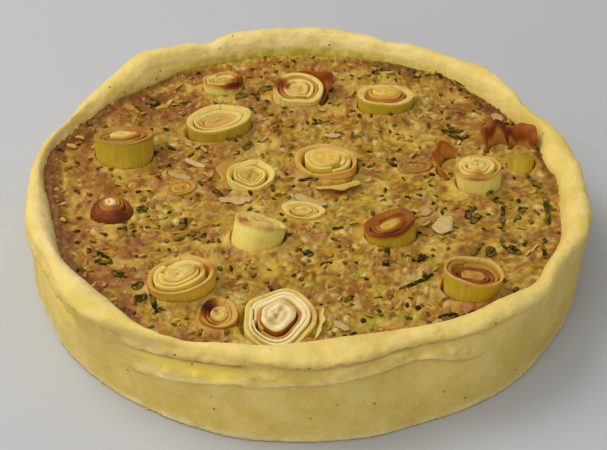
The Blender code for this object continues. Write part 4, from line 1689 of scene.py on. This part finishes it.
@dataclass
class Filling:
    """The baked top of the filling, with a socket round each leek, down to a plain underside."""

    case: Case
    wave: float = 0.7 * MM
    bank_width: float = 0.45
    heaps: tuple[Mark, ...] = (Mark(178, 34, 0, 3.4), Mark(4, 24, 0, 3.2), Mark(55, 20, 0, 1.5))
    cells: int = 304
    tuck: float = 1.2 * MM
    socket: float = 6 * MM
    grain: Grain = field(default_factory=lambda: Grain(23))
    coarse: Lumps = field(default_factory=lambda: Lumps(5.2 * MM, 24))
    fine: Lumps = field(default_factory=lambda: Lumps(2.6 * MM, 25))

    def disc(self) -> np.ndarray:
        """Spreads a square grid evenly over a disc.

        Returns:
            The share of the way out and the angle of each point, as rows and columns.
        """
        step = np.linspace(-1, 1, self.cells + 1)
        across, along = np.meshgrid(step, step)
        flat = np.abs(across) >= np.abs(along)
        share = np.where(flat, np.abs(across), np.abs(along))
        safe_across, safe_along = np.where(across == 0, 1, across), np.where(along == 0, 1, along)
        turn = np.where(flat, 45 * along / safe_across, 90 - 45 * across / safe_along)
        opposite = np.where(flat, across < 0, along < 0)
        return np.stack([share, turn + 180 * opposite], axis=-1)

    def smooth_level(self, x: np.ndarray, y: np.ndarray) -> np.ndarray:
        """Gives the height of the filling with its bank and its low waves only."""
        angle = np.degrees(np.arctan2(y, x))
        share = np.clip(np.hypot(x, y) / self.case.brim(angle), 0, 1)
        waves = np.sin(61 * x + 1.3) * np.cos(53 * y - 0.4) + 0.6 * np.sin(97 * (x - y) + 2.0)
        bank = (self.case.brim_level(angle) - self.case.filling_level) * bell((1 - share) / self.bank_width)
        heaped = pushed(angle, self.heaps, "up") * eased(share, 0.90, 1.0)
        return self.case.filling_level + bank + heaped + self.wave * waves * (1 - share**8)

    def nearest(self, points: np.ndarray) -> tuple[np.ndarray, np.ndarray, np.ndarray]:
        """Finds how far each point is from a leek or a leaf, and the gap and the bank there."""
        distance = np.full(len(points), 1.0)
        gap, bank = np.zeros(len(points)), np.zeros(len(points))
        for leek in LEEKS:
            away = leek.clearance(points)
            wide = leek.gap * MM * (0.15 + 0.85 * bell(apart(leek.bearing(points), leek.gap_to) / 75))
            gap = np.where(away < distance, wide, gap)
            front = bell(apart(leek.bearing(points), leek.bank_to) / 110)
            bank = np.where(away < distance, leek.bank * MM * (0.3 + 0.7 * front), bank)
            distance = np.minimum(away, distance)
        for leaf in LEAVES:
            away = leaf.clearance(points)
            gap = np.where(away < distance, leaf.gap * MM, gap)
            bank = np.where(away < distance, 0.6 * MM, bank)
            distance = np.minimum(away, distance)
        return distance, gap, bank

    def mince(self, flat: np.ndarray) -> dict[str, np.ndarray]:
        """Works out the lumps of ham, curd and leek.

        Args:
            flat: Rows of points on the plain level.

        Returns:
            The height in metres, each point's colour, and from 0 to 1 how deep it lies in a seam
            between lumps, which the finish darkens as painted shade.
        """
        bent = [self.grain.layered(flat + offset, 5 * MM, 2) for offset in (6.0, 8.0)]
        warped = flat[:, :2] + 1.9 * MM * np.stack(bent, axis=-1)
        seam, tall, kind = self.coarse.at(warped)
        fine_seam, fine_tall, fine_kind = self.fine.at(warped + 0.3)
        crowd = 0.5 + 0.6 * self.grain.layered(flat + 5.0, 17 * MM, 2)
        left = 0.10 * eased(flat[:, 0], -20 * MM, -100 * MM)
        left = left - 0.10 * bell(np.hypot(flat[:, 0] - 15 * MM, flat[:, 1]) / (45 * MM))
        sort = np.clip(0.33 * kind + 0.42 * fine_kind + 0.36 * crowd - left, 0, 0.999)
        order = np.argsort(np.argsort(sort)) / len(sort) if len(sort) > 5000 else sort
        share = np.cumsum([lump.value[1] for lump in Lump])
        sorted_in = np.searchsorted(share / share[-1], 0.5 * order + 0.5 * sort)
        colours = np.array([lump.value[0] for lump in Lump])
        meaty = eased(sort, 0.62, 0.36)
        height = (0.15 + 1.1 * tall) * eased(seam, 0.0, 0.55)
        height = height + (0.35 + 0.75 * meaty) * (0.3 + 0.7 * fine_tall) * eased(fine_seam, 0.0, 0.55)
        # How deep each point lies in a seam, which the finish darkens as painted shade.
        hollow = 0.55 * eased(seam, 0.32, 0.0) * tall + (0.3 + 0.5 * meaty) * eased(fine_seam, 0.32, 0.0)
        return {
            "height": height * MM,
            "tint": colours[np.minimum(sorted_in, len(colours) - 1)],
            "hollow": np.clip(hollow, 0, 1),
        }

    def level(self, points: np.ndarray) -> np.ndarray:
        """Gives the height of the finished top over each point."""
        x, y = points[:, 0], points[:, 1]
        flat = np.stack([x, y, 0 * x + self.case.filling_level], axis=-1)
        angle, radius = np.degrees(np.arctan2(y, x)), np.hypot(x, y)
        from_wall = self.case.brim(angle) - radius
        rough = self.grain.layered(flat, 9 * MM, 3)
        away, gap, bank = self.nearest(flat)
        free = eased(away, gap, gap + 4 * MM)
        lumps = self.mince(flat)["height"] - 0.8 * MM + 0.7 * MM * rough
        height = self.smooth_level(x, y) + lumps * (0.35 + 0.65 * free)
        height = height + bank * bell((away - gap) / (5.5 * MM)) * (gap > 0)
        sunk = eased(away, gap + 0.35 * MM, gap - 0.45 * MM)
        height = height - self.socket * sunk * (gap > 0)
        trench = bell((from_wall - 8 * MM) / (2.2 * MM)) * bell(apart(angle, 182) / 22) * 1.6 * MM
        trench = trench + bell((from_wall - 9 * MM) / (2.4 * MM)) * bell(apart(angle, 0) / 18) * 1.6 * MM
        seam = bell(from_wall / (1.8 * MM)) * 0.8 * MM
        return height - trench - seam * (rough > -0.5)

    def looks(self, points: np.ndarray) -> dict[str, np.ndarray]:
        """Works out where the top is browned and where it is plain creamy custard."""
        x, y = points[:, 0], points[:, 1]
        flat = np.stack([x, y, 0 * x + self.case.filling_level], axis=-1)
        angle, radius = np.degrees(np.arctan2(y, x)), np.hypot(x, y)
        from_wall = self.case.brim(angle) - radius
        patchy = self.grain.layered(flat + 2.0, 20 * MM, 3)
        away, gap, _ = self.nearest(flat)
        mince = self.mince(flat)
        edge = bell(from_wall / (13 * MM))
        back = eased(y, 10 * MM, 105 * MM)
        left = eased(x, -60 * MM, -115 * MM)
        toast = 0.16 + 0.65 * edge + 0.46 * back + 0.58 * left + 0.30 * patchy
        cream = 0.9 * bell((away - gap) / (4.5 * MM)) * (0.55 + 0.45 * self.grain.at(flat, 9 * MM))
        cream = cream + 0.55 * eased(self.grain.layered(flat + 4.0, 11 * MM, 2), 0.35, 0.75) * (1 - edge)
        middle = bell(np.hypot(x - 5 * MM, y + 20 * MM) / (75 * MM))
        cream = np.clip(cream, 0, 1)
        pale_edge = bell(from_wall / (8 * MM)) * bell(apart(angle, 96) / 46) * eased(patchy, -0.9, -0.2)
        leafy = np.array(tone(206, 184, 74)) + 0 * mince["tint"]
        return {
            "toast": np.clip(toast - 0.22 * middle - 0.5 * cream - 1.3 * pale_edge, 0, 1.1),
            "cream": cream * (1 - pale_edge),
            "tint": blended(mince["tint"], leafy, 0.85 * pale_edge),
            "hollow": mince["hollow"] * (1 - 0.7 * pale_edge),
        }

    def softened(self, values: np.ndarray) -> np.ndarray:
        """Averages values a little with their neighbours on the disc's grid."""
        grid = values.reshape(self.cells + 1, self.cells + 1, -1)
        for axis in (0, 1):
            padded = np.pad(grid, [(1, 1) if a == axis else (0, 0) for a in range(3)], mode="edge")
            before = np.take(padded, range(0, self.cells + 1), axis)
            after = np.take(padded, range(2, self.cells + 3), axis)
            grid = 0.4 * grid + 0.3 * (before + after)
        return grid.reshape(values.shape)

    def patch(self) -> Patch:
        """Builds the top, its side behind the wall and its flat underside."""
        disc = self.disc()
        share, angle = disc[..., 0].ravel(), disc[..., 1].ravel()
        radius = share * (self.case.brim(angle) + self.tuck)
        flat = np.stack([radius * np.cos(np.radians(angle)), radius * np.sin(np.radians(angle))], -1)
        points = np.concatenate([flat, 0 * flat[:, :1]], axis=1)
        points[:, 2] = self.level(points)
        looks = self.looks(points)
        looks["tint"], looks["hollow"] = self.softened(looks["tint"]), self.softened(looks["hollow"])
        count = self.cells + 1
        grid = np.arange(count * count).reshape(count, count)
        border = np.concatenate([grid[0, :-1], grid[:-1, -1], grid[-1, :0:-1], grid[:0:-1, 0]])
        faces = woven(count, count, False, False)
        lower = points[border] * np.array((1, 1, 0)) + UP * (self.case.filling_level - 9 * MM)
        start, total = len(points), len(border)
        for side in range(total):
            following = (side + 1) % total
            faces.append([border[following], border[side], start + side, start + following])
        faces.append(list(range(start, start + total))[::-1])
        all_looks = {name: np.concatenate([v, v[border]]) for name, v in looks.items()}
        whole = Patch(np.concatenate([points, lower]), [[int(c) for c in face] for face in faces], all_looks)
        return whole.outward()

    def build(self) -> None:
        """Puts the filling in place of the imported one."""
        serve(made_object("egg_filling", self.patch(), CustardFinish().material()), "custard", "filling")


# ---------------------------------------------------------------- small things in the filling


@dataclass
class Scatter:
    """Small things of one kind, joined into one piece, each at its own place, turn and size."""

    filling: Filling
    name: str
    slot: str
    count: int
    seed: int
    long: tuple[float, float]
    wide: tuple[float, float]
    thick: tuple[float, float]
    tints: tuple[Colour, ...]
    finish: MorselFinish
    sunk: float = 0.35
    tilt: float = 14.0
    keep_off: float = 0.2 * MM
    clumping: float = 0.0

    def places(self, draw: np.random.Generator) -> np.ndarray:
        """Draws places over the filling, clear of the leeks, and lays them on its top."""
        found: list[np.ndarray] = []
        total = 0
        while total < self.count:
            radius = 0.133 * np.sqrt(draw.random(4 * self.count))
            angle = draw.uniform(0, 360, 4 * self.count)
            flat = np.stack([radius * np.cos(np.radians(angle)), radius * np.sin(np.radians(angle))], -1)
            points = np.concatenate([flat, 0 * flat[:, :1] + Case.filling_level], axis=1)
            inside = radius < self.filling.case.brim(angle) - 1.5 * MM
            clear = self.filling.nearest(points)[0] > self.keep_off
            crowd = self.filling.grain.layered(points + self.seed, 14 * MM, 2)
            likely = draw.random(len(points)) < np.clip(1 + self.clumping * crowd, 0.02, 1)
            points = points[inside & clear & likely][: self.count - total]
            total += len(points)
            found.append(points)
        points = np.concatenate(found)
        points[:, 2] = self.filling.level(points)
        return points

    def blank(self) -> Patch:
        """Gives one rounded piece, 1 unit long, wide and thick."""
        sides, belts = 8, 4
        rings = []
        for belt in range(1, belts):
            up = cos(pi * belt / belts)
            turn = np.arange(sides) * 2 * pi / sides
            wide = 0.5 * sin(pi * belt / belts) ** 0.7
            rings.append(np.stack([wide * np.cos(turn), wide * np.sin(turn), 0 * turn + 0.42 * up], -1))
        return lofted(np.array(rings), {"row": np.zeros((belts - 1, sides))})

    def shaped(self, points: np.ndarray, draw: np.random.Generator) -> np.ndarray:
        """Makes each piece uneven in its own way."""
        bumps = draw.uniform(0.84, 1.16, points.shape[:2])
        return points * bumps[..., None]

    def build(self) -> None:
        """Makes all the pieces and puts them on the filling as one."""
        draw = np.random.default_rng(self.seed)
        places = self.places(draw)
        blank = self.blank()
        count, corners = len(places), len(blank.points)
        sizes = [draw.uniform(*span, count) for span in (self.long, self.wide, self.thick)]
        points = self.shaped(np.repeat(blank.points[None], count, axis=0), draw)
        points = points * np.stack(sizes, axis=-1)[:, None, :]
        turn = draw.uniform(0, 2 * pi, count)
        tip = np.radians(draw.normal(0, self.tilt, (count, 2)))
        points = self.turned(points, turn, tip)
        points = points + places[:, None, :] + UP * (sizes[2] * (0.5 - self.sunk))[:, None, None]
        tints = np.array(self.tints)[draw.integers(0, len(self.tints), count)]
        tints = tints * draw.uniform(0.8, 1.15, (count, 1))
        whole = self.combined(points, blank.faces, tints, corners)
        serve(made_object(self.name, whole, self.finish.material()), self.slot)

    @staticmethod
    def turned(points: np.ndarray, turn: np.ndarray, tip: np.ndarray) -> np.ndarray:
        """Turns each piece about the upright and tips it a little two ways."""
        x, y, z = points[..., 0], points[..., 1], points[..., 2]
        z = z + x * np.sin(tip[:, :1]) + y * np.sin(tip[:, 1:])
        c, s = np.cos(turn)[:, None], np.sin(turn)[:, None]
        return np.stack([x * c - y * s, x * s + y * c, z], axis=-1)

    @staticmethod
    def combined(points: np.ndarray, faces: list[list[int]], tints: np.ndarray, corners: int) -> Patch:
        """Joins the copies of one blank into a patch with a colour for each copy."""
        all_faces = [
            [corner + copy * corners for corner in face] for copy in range(len(points)) for face in faces
        ]
        looks = {"tint": np.repeat(tints, corners, axis=0)}
        return Patch(points.reshape(-1, 3), all_faces, looks)


@dataclass
class Strips(Scatter):
    """Thin flat strips, such as chives and shreds of leaf, which bend as they lie."""

    bend: float = 60.0

    def blank(self) -> Patch:
        """Gives one straight strip, 1 unit long, wide and thick."""
        rows, sides = 7, 6
        turn = np.arange(sides) * 2 * pi / sides
        section = np.stack([0 * turn, 0.5 * np.cos(turn), 0.5 * np.sin(turn)], axis=-1)
        rings = []
        for along in np.linspace(-0.5, 0.5, rows):
            narrow = (1 - abs(2 * along) ** 4 * 0.6) * np.array((0, 1, 1))
            rings.append(section * narrow + np.array((along, 0, 0)))
        return lofted(np.array(rings), {"row": np.zeros((rows, sides))})

    def shaped(self, points: np.ndarray, draw: np.random.Generator) -> np.ndarray:
        """Bends each strip by its own amount."""
        bend = np.radians(draw.normal(0, self.bend, (len(points), 1)))
        bend = np.where(np.abs(bend) < 0.05, 0.05, bend)
        along = points[..., 0]
        stretch = 0.5 * (self.long[0] + self.long[1]) / (0.5 * (self.wide[0] + self.wide[1]))
        sideways = (1 - np.cos(bend * along)) / bend * stretch
        arch = 0.35 * (0.25 - np.square(along)) * draw.uniform(-1, 1, (len(points), 1))
        return np.stack([np.sin(bend * along) / bend, points[..., 1] + sideways, points[..., 2] + arch], -1)


@dataclass(frozen=True)
class Strand:
    """One strip that lies where the cook's hand left it: millimetres and degrees."""

    x: float
    y: float
    long: float
    turn: float
    wide: float = 2.0
    bend: float = 0.0
    lift: float = 0.3
    crumple: float = 0.3


@dataclass
class LaidStrips:
    """Larger strips and shreds, each laid along the filling's top at its own place."""

    filling: Filling
    name: str
    slot: str
    strands: tuple[Strand, ...]
    thick: float
    tints: tuple[Colour, ...]
    finish: MorselFinish
    seed: int
    point: float = 0.35
    rows: int = 14

    def strip(self, strand: Strand, draw: np.random.Generator) -> Patch:
        """Builds one strip that follows the filling under it."""
        along = np.linspace(-0.5, 0.5, self.rows)
        heading = np.radians(strand.turn + strand.bend * along)
        step = strand.long * MM / (self.rows - 1)
        x = np.cumsum(np.cos(heading)) * step
        y = np.cumsum(np.sin(heading)) * step
        x = strand.x * MM + x - x.mean()
        y = strand.y * MM + y - y.mean()
        across = np.linspace(-0.5, 0.5, 5)
        half = (1 - (1 - self.point) * np.abs(2 * along) ** 3) * strand.wide * MM
        half = half * draw.uniform(0.8, 1.15, self.rows)
        grid_x = x[:, None] - np.sin(heading)[:, None] * across * half[:, None]
        grid_y = y[:, None] + np.cos(heading)[:, None] * across * half[:, None]
        flat = np.stack([grid_x, grid_y, 0 * grid_x], axis=-1).reshape(-1, 3)
        level = self.filling.smooth_level(flat[:, 0], flat[:, 1]).reshape(self.rows, 5)
        ground = self.filling.level(flat).reshape(self.rows, 5)
        level = np.maximum(0.1 * level + 0.9 * ground, level - 0.2 * MM)
        crumpled = draw.normal(0, 0.5 * strand.crumple * MM, (self.rows, 5)) + strand.lift * MM
        cup = 0.5 * strand.crumple * MM * np.square(2 * across)
        top = np.stack([grid_x, grid_y, level + crumpled + cup], axis=-1)
        under = top - UP * self.thick
        loop = np.concatenate([top, under[:, ::-1]], axis=1)
        tint = np.array(self.tints[draw.integers(0, len(self.tints))]) * draw.uniform(0.85, 1.1)
        return lofted(loop, {"tint": tint + 0 * loop})

    def build(self) -> None:
        """Makes all the strips and puts them on the filling as one piece."""
        draw = np.random.default_rng(self.seed)
        whole = joined([self.strip(strand, draw) for strand in self.strands])
        serve(made_object(self.name, whole, self.finish.material()), self.slot)


CHIVES = (
    Strand(77, 47, 12, -38, 2.2, 20), Strand(116, 3, 12, -59, 2.2, -15),
    Strand(120, -20, 26, -90, 2.8, -22, 0.5), Strand(98, -24, 17, -97, 2.4, 12),
    Strand(115, -53, 11, -88, 2.2, -10), Strand(1, 3, 11, -4, 2.2, 10),
    Strand(52, -76, 20, 32, 1.8, 14), Strand(82, -22, 12, 68, 3.6, -60), Strand(75, 104, 8, -67, 2.2),
    Strand(86, 95, 9, -46, 2.0, 15), Strand(79, 50, 11, 0, 2.2, -12), Strand(84, 44, 7, 33, 2.0),
    Strand(45, 21, 10, -51, 2.4, 20), Strand(34, 18, 6, 43, 2.0), Strand(8, 58, 10, 14, 1.8, 10),
    Strand(-72, 35, 9, -46, 2.0, 40), Strand(-17, 6, 8, -89, 2.6), Strand(-17, -3, 5, -89, 2.4),
    Strand(-71, -90, 9, -73, 2.8, -20), Strand(83, -51, 11, 54, 2.4, -30), Strand(97, -49, 10, -57, 2.0, 25),
    Strand(64, -99, 8, 23, 2.6), Strand(-98, -56, 10, -41, 1.8, 20), Strand(-61, -43, 7, 24, 2.0),
    Strand(-16, 58, 7, 35, 2.0), Strand(-27, 83, 9, -80, 2.4, 30), Strand(-46, 82, 6, -38, 2.2),
    Strand(-91, 69, 9, -35, 2.4, 20), Strand(39, -54, 6, -85, 2.6), Strand(20, -87, 7, 56, 2.6),
    Strand(18, 48, 6, -34, 2.0), Strand(-39, 40, 6, -18, 2.4), Strand(-55, 34, 7, 18, 2.0),
)
HERB_LEAVES = (
    Strand(-84, 75, 9, -20, 6.0, 20, 0.4, 0.5), Strand(-31, 35, 8, 62, 3.6, 20, 0.4, 0.4),
    Strand(54, -59, 7, 20, 5.2, 10, 0.4, 0.5), Strand(66, -100, 8, 22, 3.6, 0, 0.4, 0.4),
    Strand(-36, 82, 8, 46, 4.4, 30, 0.3, 0.5), Strand(-45, -5, 8, -57, 3.6, 20, 0.3, 0.4),
    Strand(-61, -31, 9, 84, 4.0, 15, 0.3, 0.5), Strand(-82, -20, 6, 57, 4.6, 0, 0.3, 0.5),
    Strand(-79, -79, 6, 46, 4.4, 0, 0.4, 0.4), Strand(-77, -87, 6, 21, 4.6, 0, 0.4, 0.4),
    Strand(-89, -70, 8, -26, 3.4, 20, 0.4, 0.4), Strand(-15, -80, 6, 25, 4.0, 0, 0.3, 0.4),
    Strand(12, 100, 9, -60, 6.0, 10, 0.3, 0.5), Strand(43, 109, 12, 25, 4.6, 20, 0.3, 0.5),
    Strand(-22, 91, 8, 20, 4.8, 0, 0.3, 0.5), Strand(-98, -62, 6, -49, 3.8, 0, 0.3, 0.4),
    Strand(1, -54, 5, -31, 4.4, 0, 0.4, 0.4), Strand(-56, -40, 6, 40, 3.0, 0, 0.3, 0.4),
    Strand(89, -53, 8, 80, 5.0, 30, 0.4, 0.6), Strand(101, -51, 8, -57, 3.6, 30, 0.4, 0.6),
    Strand(84, -28, 9, 60, 4.2, -40, 0.5, 0.6), Strand(-100, 42, 6, 30, 4.0, 0, 0.3, 0.4),
    Strand(-92, 12, 5, 10, 3.4, 0, 0.3, 0.4), Strand(38, -62, 4, 90, 3.4, 0, 0.3, 0.4),
)
ONIONS = (
    Strand(-36, -12, 17, -6, 6.5, 20, 0.7, 0.35), Strand(2, -13, 18, -22, 5.0, 25, 0.7, 0.35),
    Strand(68, -33, 15, 70, 10.0, -15, 0.9, 0.4), Strand(104, 62, 8, -60, 5.5, 20, 0.7, 0.4),
    Strand(-24, 61, 8, -20, 3.4, 20, 0.4, 0.3), Strand(14, 46, 10, -8, 3.6, 20, 0.4, 0.3),
    Strand(60, -22, 7, 50, 4.0, 20, 0.6, 0.4), Strand(16, -107, 9, -40, 4.0, 15, 0.5, 0.3),
    Strand(-66, 9, 16, -28, 4.5, 30, 0.3, 0.3), Strand(-58, 20, 13, -35, 4.0, 20, 0.3, 0.3),
)
STRAWS = (Strand(109, -52, 12, 48, 0.9, 25, 1.2, 0.1), Strand(81, 38, 4, 70, 1.4, 20, 0.9, 0.1))


@dataclass
class FootCrumbs:
    """Loose crumbs of pastry that cling to the case's foot."""

    case: Case
    count: int = 150
    seed: int = 71
    size: tuple[float, float] = (0.5 * MM, 1.3 * MM)

    def patch(self) -> Patch:
        """Builds every crumb as an uneven lump that is pressed into the case."""
        draw = np.random.default_rng(self.seed)
        angle = draw.uniform(0, 360, self.count)
        radius = self.case.outside(angle, 0 * angle) + draw.uniform(-0.4, 0.3, self.count) * MM
        height = draw.uniform(0.3, 2.2, self.count) * MM
        crumbs = []
        for turn, out, up in zip(np.radians(angle), radius, height):
            lump = bmesh_ball(draw.uniform(*self.size), draw)
            lump = lump * np.array((1, 1, 0.8)) + np.array((out * cos(turn), out * sin(turn), up))
            lump[:, 2] = np.maximum(lump[:, 2], 0)
            crumbs.append(lump)
        blank = ball_faces()
        faces = [[c + n * len(crumbs[0]) for c in face] for n in range(self.count) for face in blank]
        points = np.concatenate(crumbs)
        return Patch(points, faces, {"tint": np.array(tone(238, 218, 150)) + 0 * points})

    def build(self) -> None:
        """Puts the crumbs on the case."""
        finish = MorselFinish("loose_crumbs", 0.7, 0.3, 1.0 * MM)
        serve(made_object("pastry_crumbs", self.patch(), finish.material()), "pastry")


BALL_BELTS, BALL_SIDES = 3, 6


def bmesh_ball(size: float, draw: np.random.Generator) -> np.ndarray:
    """Gives the points of a small uneven ball, belt by belt and then its two poles."""
    points = []
    for belt in range(1, BALL_BELTS + 1):
        up = pi * belt / (BALL_BELTS + 1)
        for side in range(BALL_SIDES):
            turn = 2 * pi * side / BALL_SIDES
            points.append((sin(up) * cos(turn), sin(up) * sin(turn), cos(up)))
    points += [(0, 0, 1), (0, 0, -1)]
    return np.array(points) * draw.uniform(0.7, 1.2, (len(points), 1)) * 0.5 * size


def ball_faces() -> list[list[int]]:
    """Gives the faces of the small ball."""
    faces = woven(BALL_BELTS, BALL_SIDES, False, True)
    faces = [face[::-1] for face in faces]
    top, last = BALL_BELTS * BALL_SIDES, (BALL_BELTS - 1) * BALL_SIDES
    for side in range(BALL_SIDES):
        following = (side + 1) % BALL_SIDES
        faces.append([side, following, top])
        faces.append([last + following, last + side, top + 1])
    return faces


# ---------------------------------------------------------------- the studio


@dataclass(frozen=True)
class SoftLight:
    """A square soft light that faces the quiche."""

    name: str
    place: tuple[float, float, float]
    size: float
    power: float
    colour: Colour = (1.0, 1.0, 1.0)

    def build(self) -> None:
        """Hangs the light and turns it to the quiche."""
        lamp = bpy.data.lights.new(self.name, "AREA")
        lamp.shape = "SQUARE"
        lamp.size = self.size
        lamp.energy = self.power
        lamp.color = self.colour
        obj = bpy.data.objects.new(self.name, lamp)
        obj.location = self.place
        facing = Vector((0, 0, 0.03)) - Vector(self.place)
        obj.rotation_euler = facing.to_track_quat("-Z", "Y").to_euler()
        bpy.context.scene.collection.objects.link(obj)


@dataclass
class Studio:
    """The pale floor, the soft lights and the camera."""

    floor_size: float = 6.0
    lens: float = 88.96
    sensor: float = 36.0
    camera_height: float = 38.23
    camera_away: float = 0.773
    target: tuple[float, float, float] = (-0.0013, -0.0068, 0.020)
    sky: float = 0.38
    sky_colour: Colour = (0.95, 0.98, 1.0)
    lights: tuple[SoftLight, ...] = (
        SoftLight("key_from_the_left", (-0.75, 0.25, 1.25), 0.9, 12.5, (1.0, 0.98, 0.94)),
        SoftLight("fill_overhead", (-0.05, -0.45, 1.5), 1.2, 4.0),
        SoftLight("fill_from_the_front", (-0.85, -1.35, 0.55), 0.8, 4.2),
    )

    def build_floor(self) -> None:
        """Lays the floor under the quiche."""
        half = 0.5 * self.floor_size
        corners = np.array([(-half, -half, 0), (half, -half, 0), (half, half, 0), (-half, half, 0)])
        patch = Patch(corners - UP * 0.05 * MM, [[0, 1, 2, 3]])
        made_object("studio_floor", patch, FloorFinish().material())

    def build_camera(self) -> None:
        """Sets the camera, which looks down along +Y."""
        data = bpy.data.cameras.new("camera")
        data.lens = self.lens
        data.sensor_width = self.sensor
        data.sensor_fit = "HORIZONTAL"
        camera = bpy.data.objects.new("camera", data)
        height = radians(self.camera_height)
        target = Vector(self.target)
        camera.location = target + self.camera_away * Vector((0, -cos(height), sin(height)))
        facing = target - camera.location
        camera.rotation_euler = facing.to_track_quat("-Z", "Y").to_euler()
        bpy.context.scene.collection.objects.link(camera)
        bpy.context.scene.camera = camera

    def build_sky(self) -> None:
        """Fills the room with even light."""
        world = bpy.data.worlds.new("soft_room")
        world.use_nodes = True
        background = world.node_tree.nodes["Background"]
        background.inputs["Color"].default_value = (*self.sky_colour, 1.0)
        background.inputs["Strength"].default_value = self.sky
        bpy.context.scene.world = world
        bpy.context.scene.view_settings.view_transform = "Standard"

    def build(self) -> None:
        """Builds the whole studio."""
        self.build_floor()
        self.build_sky()
        self.build_camera()
        for light in self.lights:
            light.build()


# ---------------------------------------------------------------- the whole


def main() -> None:
    """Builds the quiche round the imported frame, piece by piece, and the studio round it."""
    logging.basicConfig(level=logging.INFO, format="%(message)s")
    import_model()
    case = Case()
    filling = Filling(case)
    case.build()
    filling.build()
    leek_material = LeekFinish().material()
    for leek in LEEKS:
        leek.build(leek_material)
    leaf_material = LeekFinish(name="browned_leek_leaf", gloss=0.58).material()
    for leaf in LEAVES:
        leaf.build(leaf_material)
    meat = MorselFinish("minced_ham", 0.55, 0.5, 2.0 * MM, film=0.75)
    green = MorselFinish("cooked_chives", 0.85, 0.5, 0.8 * MM, film=0.35, gloss=0.05)
    pale = MorselFinish("soft_onion", 0.40, 0.25, 1.6 * MM, film=0.35)
    shred = MorselFinish("soft_leek_shred", 0.45, 0.5, 2.0 * MM, film=0.8)
    Scatter(
        filling, "ham_crumbs", "ham", 520, 31, (2.0 * MM, 4.2 * MM), (1.6 * MM, 2.8 * MM),
        (1.3 * MM, 2.0 * MM),
        (tone(190, 116, 60), tone(160, 90, 42), tone(206, 150, 86), tone(134, 70, 28)),
        meat, sunk=0.7, clumping=1.2,
    ).build()
    Strips(
        filling, "chive_bits", "herbs", 430, 32, (2.0 * MM, 4.6 * MM), (1.5 * MM, 2.7 * MM),
        (0.8 * MM, 1.2 * MM), (tone(66, 60, 16), tone(54, 50, 16), tone(84, 78, 22), tone(46, 44, 16)),
        green, sunk=0.35, clumping=1.3, bend=50,
    ).build()
    Strips(
        filling, "leek_shreds", "leek_flesh", 170, 37, (4.0 * MM, 9.0 * MM), (1.8 * MM, 3.4 * MM),
        (0.9 * MM, 1.3 * MM),
        (tone(186, 156, 58), tone(200, 168, 78), tone(166, 138, 40), tone(190, 144, 56)),
        shred, sunk=0.62, clumping=0.3, bend=60,
    ).build()
    LaidStrips(
        filling, "long_chives", "herbs", CHIVES, 0.5 * MM,
        (tone(46, 46, 18), tone(36, 36, 16), tone(60, 60, 22)), green, 33,
    ).build()
    LaidStrips(
        filling, "herb_leaves", "herbs", HERB_LEAVES, 0.4 * MM,
        (tone(36, 36, 20), tone(28, 28, 20), tone(54, 54, 24)), green, 34, point=0.5,
    ).build()
    LaidStrips(
        filling, "onion_slivers", "onion", ONIONS, 0.5 * MM,
        (tone(200, 166, 112), tone(188, 154, 104), tone(204, 174, 116)), pale, 35, point=0.25,
    ).build()
    LaidStrips(
        filling, "dry_leek_fibres", "leek_flesh", STRAWS, 0.4 * MM, (tone(226, 198, 130),), pale, 36,
        point=0.4,
    ).build()
    FootCrumbs(case).build()
    Studio().build()


if __name__ == "__main__":
    main()
